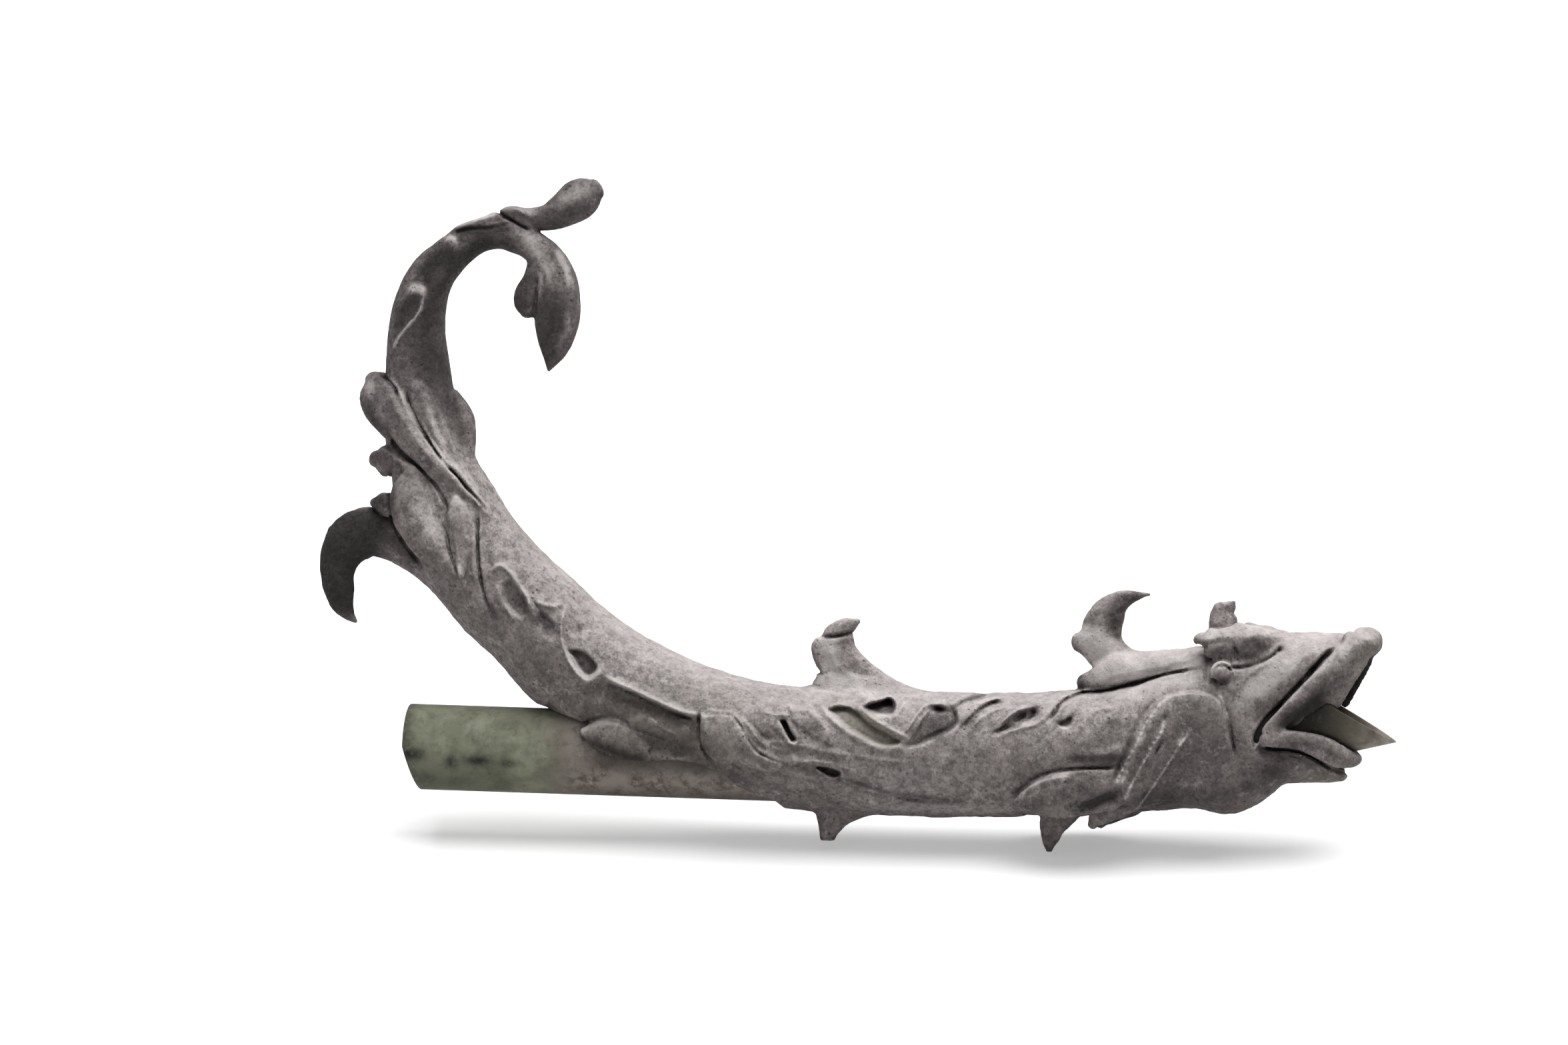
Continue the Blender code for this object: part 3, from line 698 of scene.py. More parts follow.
def baked(piece: bpy.types.Object) -> None:
    """Turns a piece's modifiers into its plain mesh."""
    bpy.context.view_layer.update()
    graph = bpy.context.evaluated_depsgraph_get()
    plain = bpy.data.meshes.new_from_object(piece.evaluated_get(graph))
    plain.name = piece.name
    old = piece.data
    piece.modifiers.clear()
    piece.data = plain
    bpy.data.meshes.remove(old)


def rows_of_three(items: bpy.types.bpy_prop_collection, name: str) -> np.ndarray:
    """A vector property of many items, as rows."""
    flat = np.empty(len(items) * 3, np.float32)
    items.foreach_get(name, flat)
    return flat.reshape(-1, 3)


def places(piece: bpy.types.Object) -> np.ndarray:
    """A piece's points, in millimetres."""
    return rows_of_three(piece.data.vertices, "co") * MM


def normals(piece: bpy.types.Object) -> np.ndarray:
    """The normals at a piece's points."""
    return rows_of_three(piece.data.vertex_normals, "vector")


def paint(piece: bpy.types.Object, **layers: np.ndarray) -> None:
    """Stores numbers between 0 and 1 for each point under the given names, for the material to read."""
    for name, values in layers.items():
        layer = piece.data.attributes.new(name, "FLOAT", "POINT")
        layer.data.foreach_set("value", np.clip(values, 0, 1).astype(np.float32))


@dataclass
class Wiring:
    """A node tree being wired up."""

    tree: bpy.types.NodeTree

    def feed(self, target: Socket, value: Value) -> None:
        """Joins a socket to an input, or sets the input to a number or a colour."""
        if isinstance(value, Socket):
            self.tree.links.new(value, target)
        else:
            target.default_value = (*value, 1) if isinstance(value, tuple) else value

    def node(self, kind: str, inputs: dict[str | int, Value], **settings: str) -> bpy.types.Node:
        """Adds a node with its settings, and feeds its inputs."""
        made = self.tree.nodes.new(kind)
        for name, setting in settings.items():
            setattr(made, name, setting)
        for name, value in inputs.items():
            self.feed(made.inputs[name], value)
        return made

    def math(self, operation: str, a: Value, b: Value = 0.0) -> Socket:
        """One step of arithmetic on sockets or numbers."""
        return self.node("ShaderNodeMath", {0: a, 1: b}, operation=operation).outputs[0]

    def plus(self, a: Value, b: Value) -> Socket:
        """The sum of two values."""
        return self.math("ADD", a, b)

    def minus(self, a: Value, b: Value) -> Socket:
        """The first value less the second."""
        return self.math("SUBTRACT", a, b)

    def times(self, a: Value, b: Value) -> Socket:
        """The product of two values."""
        return self.math("MULTIPLY", a, b)


@dataclass
class Bench(Wiring):
    """A material being wired up."""

    material: bpy.types.Material
    place: Socket

    @classmethod
    def start(cls, name: str) -> "Bench":
        """Makes a new material and lays out the object's own coordinates."""
        material = bpy.data.materials.new(name)
        material.use_nodes = True
        tree = material.node_tree
        return cls(tree, material, tree.nodes.new("ShaderNodeTexCoord").outputs["Object"])

    def surface(self, inputs: dict[str, Value]) -> None:
        """Feeds the surface shader."""
        shader = self.tree.nodes["Principled BSDF"]
        for name, value in inputs.items():
            self.feed(shader.inputs[name], value)

    def noise(self, scale: float, detail: float, roughness: float, warp: float = 0.0) -> Socket:
        """Soft noise between 0 and 1, with its features 1/scale metres apart."""
        inputs = {"Vector": self.place, "Scale": scale, "Detail": detail, "Roughness": roughness}
        return self.node("ShaderNodeTexNoise", {**inputs, "Distortion": warp}).outputs["Fac"]

    def cells(self, scale: float) -> Socket:
        """Distance to the nearest of scattered seeds, for pits and crystals."""
        return self.node("ShaderNodeTexVoronoi", {"Vector": self.place, "Scale": scale}).outputs["Distance"]

    def painted(self, name: str) -> Socket:
        """A number painted on the piece's points."""
        return self.node("ShaderNodeAttribute", {}, attribute_name=name).outputs["Fac"]

    def ramp(self, source: Socket, low: float, high: float, start: float = 0.0, end: float = 1.0) -> Socket:
        """Maps low to start and high to end, smoothly and held at both ends."""
        inputs = {"Value": source, "From Min": low, "From Max": high, "To Min": start, "To Max": end}
        return self.node("ShaderNodeMapRange", inputs, interpolation_type="SMOOTHSTEP").outputs["Result"]

    def mix(self, share: Value, a: Value, b: Value) -> Socket:
        """Mixes two colours."""
        return self.node("ShaderNodeMix", {"Factor": share, 6: a, 7: b}, data_type="RGBA").outputs[2]

    def coats(self, base: Value, *coats: tuple[Value, Value]) -> Socket:
        """Lays coats over a colour, each a share and a colour of its own."""
        for share, colour in coats:
            base = self.mix(share, base, colour)
        return base

    def bump(self, height: Socket, distance: float, strength: float, under: Socket | None = None) -> Socket:
        """A bump whose full height is distance, in metres, over the one under it."""
        inputs = {"Height": height, "Distance": distance, "Strength": strength}
        if under is not None:
            inputs["Normal"] = under
        return self.node("ShaderNodeBump", inputs).outputs["Normal"]


def tone(red: int, green: int, blue: int) -> Colour:
    """A colour from its 0 to 255 screen values, as the linear values that shaders use."""
    shares = (value / 255 for value in (red, green, blue))
    return tuple(c / 12.92 if c <= 0.04045 else ((c + 0.055) / 1.055) ** 2.4 for c in shares)


@dataclass(frozen=True)
class LeadFinish:
    """Old lead: a granular grey-brown skin, pale where rain washes it and with painted light, and dark in its
    hollows with grime and painted shade.
    """

    name: str = "weathered_lead"
    pale: Colour = tone(213, 206, 204)
    middle: Colour = tone(146, 137, 135)
    deep: Colour = tone(84, 77, 76)
    soot: Colour = tone(31, 28, 28)
    olive: Colour = tone(112, 108, 88)
    shine: float = 0.2

    def build(self) -> bpy.types.Material:
        """Wires the material up."""
        bench = Bench.start(self.name)
        ramp, noise, times = bench.ramp, bench.noise, bench.times
        washed = bench.painted("washed")
        unwashed = ramp(washed, 0.45, 0.9, 1.0, 0.3)
        patches = ramp(noise(28, 5, 0.62, 0.25), 0.38, 0.64)
        streaks = ramp(noise(60, 4, 0.6), 0.3, 0.7, 0.6, 1.0)
        blotches = ramp(noise(125, 4, 0.7, 0.1), 0.45, 0.62)
        bright = ramp(noise(84, 6, 0.76, 0.15), 0.53, 0.68)
        grains = ramp(noise(330, 4, 0.7), 0.42, 0.66)
        crumbs = ramp(noise(900, 2, 0.6), 0.35, 0.7)
        specks = ramp(bench.cells(240), 0.02, 0.2, 1.0, 0.0)
        pits = times(ramp(bench.cells(165), 0.06, 0.24, 1.0, 0.0), ramp(noise(40, 4, 0.6), 0.48, 0.6))
        # Painted shade in creases and hollows, mixed with grime.
        dirt = times(bench.painted("recess"), ramp(noise(150, 3, 0.6), 0.2, 0.7, 0.75, 1.0))
        base = bench.coats(
            self.middle,
            (times(patches, 0.5), self.deep),
            # Pale streaks where rain washes the lead, and painted light.
            (times(washed, streaks), self.pale),
            (times(blotches, times(unwashed, 0.52)), self.deep),
            (times(bright, 0.45), self.pale),
            (times(grains, times(unwashed, 0.4)), bench.mix(0.5, self.deep, self.soot)),
            (times(specks, times(crumbs, 0.5)), self.pale),
            (times(bench.painted("olive"), 0.75), self.olive),
            (times(pits, times(unwashed, 0.55)), bench.mix(0.6, self.deep, self.soot)),
            (dirt, self.soot),
        )
        # The tail's dark patina, with painted shade, pulls the colour towards near-black.
        base = bench.mix(bench.painted("tarnish"), base, bench.mix(0.88, base, self.soot))
        swells = bench.bump(noise(120, 5, 0.62), 0.0026, 0.75)
        holes = bench.bump(bench.minus(1.0, pits), 0.0014, 0.7, swells)
        grit = bench.bump(noise(430, 3, 0.65), 0.0009, 0.6, holes)
        rough = ramp(grains, 0.0, 1.0, 0.62, 0.86)
        bench.surface({"Base Color": base, "Roughness": rough, "Normal": grit})
        bench.surface({"Specular IOR Level": self.shine})
        return bench.material


@dataclass(frozen=True)
class CopperFinish:
    """Weathered copper: a dull green or olive skin with dark staining and painted shade, and rust and lime
    where it is wet.
    """

    name: str
    fresh: Colour
    shade: Colour
    stain: Colour
    rust: Colour
    lime: Colour = tone(178, 168, 156)
    grime: Colour = tone(90, 82, 76)
    shine: float = 0.35

    def build(self) -> bpy.types.Material:
        """Wires the material up."""
        bench = Bench.start(self.name)
        ramp, noise, times, mix = bench.ramp, bench.noise, bench.times, bench.mix
        rust = bench.painted("rust")
        cloud = ramp(noise(32, 5, 0.6, 0.6), 0.35, 0.68)
        flecks = ramp(noise(260, 4, 0.7), 0.52, 0.74)
        base = bench.coats(
            self.fresh,
            (cloud, mix(0.55, self.fresh, self.shade)),
            (bench.painted("shade"), self.shade),
            (ramp(noise(80, 5, 0.65, 0.3), 0.48, 0.68, 0.0, 0.5), self.shade),
            (times(flecks, 0.35), self.stain),
        )
        crust = bench.coats(
            self.rust,
            (ramp(noise(62, 5, 0.72, 0.2), 0.42, 0.66), self.grime),
            (ramp(noise(95, 6, 0.75, 0.1), 0.55, 0.68, 0.0, 0.75), self.lime),
            (ramp(rust, 0.3, 0.95, 0.75, 0.0), mix(0.45, self.shade, self.rust)),
            (times(bench.painted("damp"), 0.8), mix(0.35, self.grime, self.stain)),
        )
        ragged = bench.plus(rust, ramp(noise(55, 5, 0.7, 0.6), 0.3, 0.7, -0.2, 0.2))
        thickness = bench.math("POWER", times(ramp(ragged, 0.1, 0.4), ramp(rust, 0.02, 0.5)), 0.7)
        # Dark staining, and on the nozzle painted shade deep in the mouth and a painted shadow by the lower
        # lip.
        stained = times(bench.painted("stain"), ramp(noise(190, 4, 0.7), 0.22, 0.5))
        base = bench.coats(base, (thickness, crust), (stained, self.stain))
        dents = bench.bump(noise(70, 3, 0.5), 0.0012, 0.35)
        grit = bench.bump(noise(600, 3, 0.6), 0.0004, 0.5, dents)
        rough = ramp(cloud, 0, 1, 0.55, 0.75)
        bench.surface({"Base Color": base, "Roughness": rough, "Normal": grit})
        bench.surface({"Specular IOR Level": self.shine})
        return bench.material


# -----------------------------------------------------------------------------------------------------------
# The casting


@dataclass
class Casting:
    """The dragon: body, head, fins, leaves and tail, cast in one."""

    name: str = "dragon_casting_skin"
    step: float = 1.3
    quick_step: float = 2.4
    most_triangles: int = 192000
    pipe_radius: float = 36.35
    socket_end: float = 334.0
    sleeve_radius: float = 41.3
    sleeve: tuple[float, float] = (150.0, 344.0)
    knob_margin: float = 6.0
    ridge_height: float = 0.75
    crease_width: float = 0.85
    crease_depth: float = 0.85
    bead_spacing: float = 5.5
    waterway_radius: float = 24.0
    inside_box: float = 0.05
    # x, z, half height, half width
    trunk: Sequence[Station] = (
        (739.5, 60, 34, 26), (729.5, 57, 50, 34), (715.5, 50, 63, 41), (693, 41, 71, 47), (668, 35, 66, 51),
        (637.5, 25, 58, 53), (602, 18, 54, 53), (551.5, 12, 52, 51), (501, 9, 52, 50), (440, 8, 53, 50),
        (379.5, 8, 52, 50), (328.5, 10, 51, 50), (294, 14, 50.5, 49), (259, 21.5, 50, 49),
        (201, 42, 50, 48.5), (142.5, 75, 49.5, 48), (104.5, 109.5, 47, 47), (72.5, 137.5, 46.5, 46),
        (45, 171.5, 44, 44), (26, 204, 42, 40), (10.5, 240, 36, 35), (0.5, 285, 31, 30),
        (-2.5, 317, 27.5, 27), (-4.5, 349, 24.5, 23.5), (-1.5, 376, 22, 21), (6.5, 397, 19.5, 18.5),
        (19, 412, 17, 16), (33, 424, 15, 14.5), (48, 432, 13.5, 13), (65.5, 434, 12.5, 12.5),
        (81.5, 429, 11.5, 12),
    )

    def build(self) -> bpy.types.Object:
        """Models and dresses the casting."""
        carving = Field(self.step)
        self.rough_out(carving)
        drawing = Drawing()
        self.draw(drawing)
        drawing.carve(carving)
        self.hollow(carving)
        points, faces = carving.skin()
        log.info("casting skin: %d points, %d faces", len(points), len(faces))
        piece = mesh_object(self.name, points, faces)
        settle = piece.modifiers.new("settle", "SMOOTH")
        settle.factor = 0.4
        settle.iterations = 2
        baked(piece)
        self.roughen(piece)
        triangles = 2 * len(faces)
        if triangles > self.most_triangles:
            piece.modifiers.new("thin", "DECIMATE").ratio = self.most_triangles / triangles
            baked(piece)
        smooth_shading(piece)
        self.weather(piece, carving, drawing)
        piece.data.materials.clear()
        piece.data.materials.append(LeadFinish().build())
        return piece

    def roughen(self, piece: bpy.types.Object) -> None:
        """Gives the skin the slight unevenness of a sand casting, away from the pipe and the nozzle."""
        at, out = places(piece), normals(piece)
        x, z = at[:, 0], at[:, 2]
        from_pipe = np.hypot(at[:, 1], z) - self.pipe_radius
        free = np.where(x < self.socket_end + 4, step_up(np.abs(from_pipe), 0.6, 3.0), 1.0)
        free *= np.where((x > 690) & (z > -6) & (z < 84), 0.35, 1.0)
        free *= 1 - 0.55 * step_up(z, 225, 320)
        rough = 0.65 * lumps(at, 13.0, 3) + 0.4 * lumps(at, 5.5, 4)
        low, high = (np.array(corner) * MM for corner in CAD_BOX)
        at = np.clip(at + out * (rough * free)[:, None], low + self.inside_box, high - self.inside_box)
        piece.data.vertices.foreach_set("co", (at / MM).astype(np.float32).ravel())
        piece.data.update()

    def rough_out(self, carving: Field) -> None:
        """Builds up the body, the head, the fins and the leaves."""
        Loft([(x, z, high, 0, wide) for x, z, high, wide in self.trunk]).add_to(carving)
        for leaf in MIDDLE_LEAVES.values():
            Loft(leaf, pinch=1.2, fillet=3).add_to(carving)
        for rows in FINS.values():
            Fin(rows).add_to(carving)
        for jaw in JAWS.values():
            Loft(jaw, pinch=0.85, fillet=6).add_to(carving)
        for leaf in SIDE_LEAVES.values():
            Loft(leaf, pinch=1.15, fillet=2.5).add_to(carving)
        for rim in LIPS.values():
            Lip(rim).add_to(carving)
        for knob in KNOBS:
            self.knob(carving, *knob)
        start, end = self.sleeve
        margin, reach = 6, 48
        window = carving.window((start - margin, 0, -reach), (end + margin, reach, reach))
        x, y, z = carving.samples(window)
        past = np.abs(x - (start + end) / 2) - (end - start) / 2
        carving.add(window, np.maximum(np.sqrt(y**2 + z**2) - self.sleeve_radius, past), 3)

    def knob(self, carving: Field, x: float, y: float, z: float, radius: float, fillet: float) -> None:
        """Adds a round lump."""
        middle, reach = (x, y, z), radius + self.knob_margin
        window = carving.window([v - reach for v in middle], [v + reach for v in middle])
        dx, dy, dz = (axis - v for axis, v in zip(carving.samples(window), middle))
        carving.add(window, np.sqrt(dx * dx + dy * dy + dz * dz) - radius, fillet)

    def draw(self, drawing: Drawing) -> None:
        """Draws the flank's carving."""
        for points, height, rib in LOBES:
            drawing.lobe(points, height, rib)
        for outline, height, edge in PANELS:
            drawing.panel(outline, height, edge)
        for points, half, height in RIDGES:
            drawing.stroke(points, half, height * self.ridge_height)
        for points, half, height in BEADS:
            drawing.stroke(points, half, height, beads=self.bead_spacing)
        for points, width, height in EDGES:
            drawing.edge(points, width, height)
        for points, half, height in CREASES:
            drawing.stroke(points, half * self.crease_width, height * self.crease_depth, Cut.SHARP)
        drawing.stroke(EYE_RING, 1.8, 1.1, at_ends=0.5)

    def hollow(self, carving: Field) -> None:
        """Cuts the pipe's socket, the waterway, the mouth and the nozzle's seat."""
        under = carving.window((-90, 0, -76), (330, 63, 50))
        carving.cut(under, outline_distance(PIPE_EDGE, *carving.side(under))[:, None, :], 1.0)
        socket = carving.window((-90, 0, -45), (self.socket_end, 45, 45))
        x, y, z = carving.samples(socket)
        carving.cut(socket, np.maximum(np.sqrt(y**2 + z**2) - self.pipe_radius, x - self.socket_end), 0)
        bore = self.waterway_radius
        Loft([(x, z, bore, 0, bore) for x, z in WATERWAY], fillet=0, spacing=12).cut_from(carving)
        Loft([(x, z, r, 0, r) for x, z, r in MOUTH_HOLLOW], fillet=2, spacing=6).cut_from(carving)
        seat = carving.window((680, 0, -20), (846, 45, 110))
        carving.cut(seat, Nozzle().room(*carving.samples(seat)), 0)

    def weather(self, piece: bpy.types.Object, carving: Field, drawing: Drawing) -> None:
        """Paints for each point how pale it is from rain, wear and painted light, its painted shade and grime
        in hollows, its darkening from patina and painted shade, and how green it is.
        """
        at, out = places(piece), normals(piece)
        x, y, z = at.T
        shut = np.zeros(len(at), np.float32)
        worn = np.zeros(len(at), np.float32)
        # How shut in each point is, read a little way out along its normal; it sets the painted shade in
        # creases.
        for reach, share in ((2.5, 0.42), (5, 0.33), (10, 0.25)):
            shut += share * np.clip(1 - carving.read(at + out * reach) / reach, 0, 1)
        for reach in (2.5, 5):
            worn += 0.5 * np.clip(1 + carving.read(at - out * reach) / reach, 0, 1)
        # The drawing's hollows and the shut-in places get painted shade mixed with grime.
        relief = drawing.relief(5).read(at)
        recess = np.clip(step_up(shut, 0.2, 0.85) * 0.8 + step_up(-relief, 0.7, 3.4) * 0.45, 0, 1)
        # Strokes from the table of tone, painted shade and painted light.
        stains = Drawing(step=1.0)
        for points, half, amount in TONES:
            stains.stroke(points, half, amount, at_ends=0.6)
        toned = stains.read(at)
        drawn = drawn_x(x, y)
        tail = step_up(z, 225, 330) * step_up(150 - x, -40, 40)
        hook = step_up(-14 - x, 0, 26) * step_up(208 - z, 0, 14) * step_up(z, 95, 120)
        # Paler on faces turned up, where rain washes the lead, on worn edges and on raised ridges, partly as
        # a painted highlight, plus the strokes' painted light.
        washed = 0.76 * step_up(out[:, 2], -0.3, 0.95) * (1 - 0.5 * tail) * (1 - 0.9 * recess)
        washed = washed + 0.3 * step_up(relief, 0.3, 1.6) + 0.3 * step_up(worn, 0.3, 0.9) + toned
        # Faces inside the mouth that turn towards the middle get black painted shade.
        inside_mouth = step_up(-np.sign(y) * out[:, 1], -0.1, 0.35) * step_up(drawn, 728, 745)
        inside_mouth = inside_mouth * step_up(z, 22, 40)
        # Darker on the tail and the hook, with painted shade on faces turned down, from the dark strokes and
        # inside the mouth.
        tarnish = 0.55 * tail + 1.1 * hook + 0.1 * step_up(-out[:, 2], 0.0, 0.9) - np.minimum(toned, 0)
        tarnish = tarnish - 0.7 * np.maximum(toned, 0) + inside_mouth * step_up(112 - z, 0, 12)
        lips = step_up(drawn, 735, 770) * step_up(34 - np.abs(y), 0, 10)
        lips = lips * step_up(out[:, 0] - out[:, 2], -0.2, 0.9)
        petal = step_up(15 - np.hypot((drawn - 390) * 0.42, z - 29 + (drawn - 390) * 0.5), 0, 8)
        rear = step_up(60 - np.hypot((drawn - 215) * 0.5, z - 20), 0, 45)
        olive = 0.3 * lips + 0.7 * petal + 0.3 * rear
        paint(piece, washed=washed, recess=recess, tarnish=tarnish, olive=olive)


# -----------------------------------------------------------------------------------------------------------
# The tubes


@dataclass
class Tube:
    """A tube's measures in millimetres and radians, and the rule by which its ends are trimmed."""

    name: str
    radius: float
    wall: float
    length: float
    rounding: float
    rows: int
    sides: int
    rear_lean: float = 0.0
    lean_reach: float = MM
    front_slope: float = 0.0
    tilt: float = 0.0
    place: tuple[float, float, float] = (0.0, 0.0, 0.0)

    def inputs(self) -> dict[str, object]:
        """The tube tree's inputs by name, in metres and radians."""
        return {
            "Radius": self.radius / MM, "Wall": self.wall / MM, "Length": self.length / MM, "Rows": self.rows,
            "Sides": self.sides, "Rear Lean": self.rear_lean, "Lean Reach": self.lean_reach / MM,
            "Front Slope": self.front_slope, "Tilt": self.tilt, "Place": tuple(v / MM for v in self.place),
        }


class TubeTree(Wiring):
    """A node tree that rolls a grid into a tube with a true wall, trims its ends and sets it in place."""

    INPUTS = {
        "Radius": "Float", "Wall": "Float", "Length": "Float", "Rows": "Int", "Sides": "Int",
        "Rear Lean": "Float", "Lean Reach": "Float", "Front Slope": "Float", "Tilt": "Float",
        "Place": "Vector", "Material": "Material",
    }

    def __init__(self) -> None:
        """Wires the tree up."""
        super().__init__(bpy.data.node_groups.new("rolled_tube", "GeometryNodeTree"))
        self.tree.is_modifier = True
        self.tree.interface.new_socket("Geometry", in_out="OUTPUT", socket_type="NodeSocketGeometry")
        for name, kind in self.INPUTS.items():
            self.tree.interface.new_socket(name, in_out="INPUT", socket_type=f"NodeSocket{kind}")
        given = self.node("NodeGroupInput", {}).outputs
        grid, place = self.rolled(given)
        turn = {"Vector": place, "Angle": self.times(given["Tilt"], -1.0)}
        tilted = self.node("ShaderNodeVectorRotate", turn, rotation_type="Y_AXIS")
        moved = self.node("ShaderNodeVectorMath", {0: tilted.outputs[0], 1: given["Place"]}).outputs[0]
        shaped = self.node("GeometryNodeSetPosition", {"Geometry": grid, "Position": moved}).outputs[0]
        closed = self.node("GeometryNodeMergeByDistance", {"Geometry": shaped, "Distance": 1e-5}).outputs[0]
        whole = self.node("GeometryNodeRealizeInstances", {"Geometry": closed}).outputs[0]
        look = {"Geometry": whole, "Material": given["Material"]}
        dressed = self.node("GeometryNodeSetMaterial", look).outputs[0]
        self.node("NodeGroupOutput", {"Geometry": dressed})

    def rolled(self, given: dict[str, Socket]) -> tuple[Socket, Socket]:
        """A flat grid, and where its points lie on the tube: out along the outside, back along the inside."""
        plus, minus, times, arithmetic = self.plus, self.minus, self.times, self.math
        radius, rows, sides = given["Radius"], given["Rows"], given["Sides"]
        both = times(rows, 2.0)
        counts = {"Vertices X": plus(both, 1.0), "Vertices Y": plus(sides, 1.0)}
        grid = self.node("GeometryNodeMeshGrid", {"Size X": both, "Size Y": sides, **counts}).outputs["Mesh"]
        here = self.node("GeometryNodeInputPosition", {}).outputs[0]
        spot = self.node("ShaderNodeSeparateXYZ", {"Vector": here}).outputs
        loop = arithmetic("FLOORED_MODULO", arithmetic("ROUND", plus(spot["X"], rows)), both)
        inner = arithmetic("GREATER_THAN", loop, minus(rows, 0.5))
        last = minus(rows, 1.0)
        step = plus(times(inner, minus(plus(rows, last), loop)), times(minus(1.0, inner), loop))
        turn = times(arithmetic("DIVIDE", spot["Y"], sides), 2 * math.pi)
        reach = minus(radius, times(given["Wall"], inner))
        y = times(reach, arithmetic("COSINE", turn))
        z = times(reach, arithmetic("SINE", turn))
        trimmed = minus(given["Length"], times(given["Front Slope"], plus(z, radius)))
        x = times(arithmetic("DIVIDE", step, last), trimmed)
        below = arithmetic("MAXIMUM", minus(0.0, z), 0.0)
        near = arithmetic("MAXIMUM", minus(1.0, arithmetic("DIVIDE", x, given["Lean Reach"])), 0.0)
        leaning = plus(x, times(times(given["Rear Lean"], below), near))
        return grid, self.node("ShaderNodeCombineXYZ", {"X": leaning, "Y": y, "Z": z}).outputs[0]

    def roll(self, tube: Tube, material: bpy.types.Material) -> bpy.types.Object:
        """Makes one tube as a plain mesh, with its faces outwards."""
        piece = link(tube.name, bpy.data.meshes.new(tube.name))
        modifier = piece.modifiers.new("rolled", "NODES")
        modifier.node_group = self.tree
        values = {**tube.inputs(), "Material": material}
        for item in self.tree.interface.items_tree:
            if item.item_type == "SOCKET" and item.in_out == "INPUT":
                modifier[item.identifier] = values[item.name]
        edge = piece.modifiers.new("edge", "BEVEL")
        edge.width = tube.rounding / MM
        edge.segments = 2
        edge.limit_method = "ANGLE"
        edge.angle_limit = math.radians(35)
        baked(piece)
        work = bmesh.new()
        work.from_mesh(piece.data)
        bmesh.ops.recalc_face_normals(work, faces=work.faces)
        work.to_mesh(piece.data)
        work.free()
        smooth_shading(piece)
        return piece


@dataclass
class SupplyPipe(Tube):
    """The round pipe that feeds the dragon, square above and cut back below at its rear end."""

    name: str = "supply_pipe_skin"
    radius: float = 36.0
    wall: float = 3.0
    length: float = 332.0
    rounding: float = 0.8
    rows: int = 84
    sides: int = 120
    rear_lean: float = 0.3
    lean_reach: float = 60.0
    finish: CopperFinish = CopperFinish(
        "green_copper", tone(150, 152, 130), tone(92, 94, 78), tone(30, 32, 27), tone(146, 135, 128)
    )

    def build(self, tubes: TubeTree) -> bpy.types.Object:
        """Models and dresses the pipe."""
        piece = tubes.roll(self, self.finish.build())
        x, y, z = places(piece).T
        drawn = drawn_x(x, y)
        stain = np.zeros(len(x))
        for middle, height, wide, high, depth in PIPE_STAINS:
            spot = depth * np.exp(-(((drawn - middle) / wide) ** 2 + ((z - height) / high) ** 2))
            stain = np.maximum(stain, spot)
        rim = np.exp(-(((x - 1) / 7.0) ** 2)) * 0.6
        drips = 0.8 * step_up(-z - 24, 0, 12) * step_up(drawn, 130, 160)
        paint(
            piece,
            stain=stain + rim,
            shade=step_up(-z, -10, 22) * (0.65 - 0.4 * step_up(drawn, 84, 100)),
            rust=step_up(drawn, 98, 172),
            damp=step_up(drawn, 138, 172) * step_up(z, -21, -8) + drips,
        )
        return piece


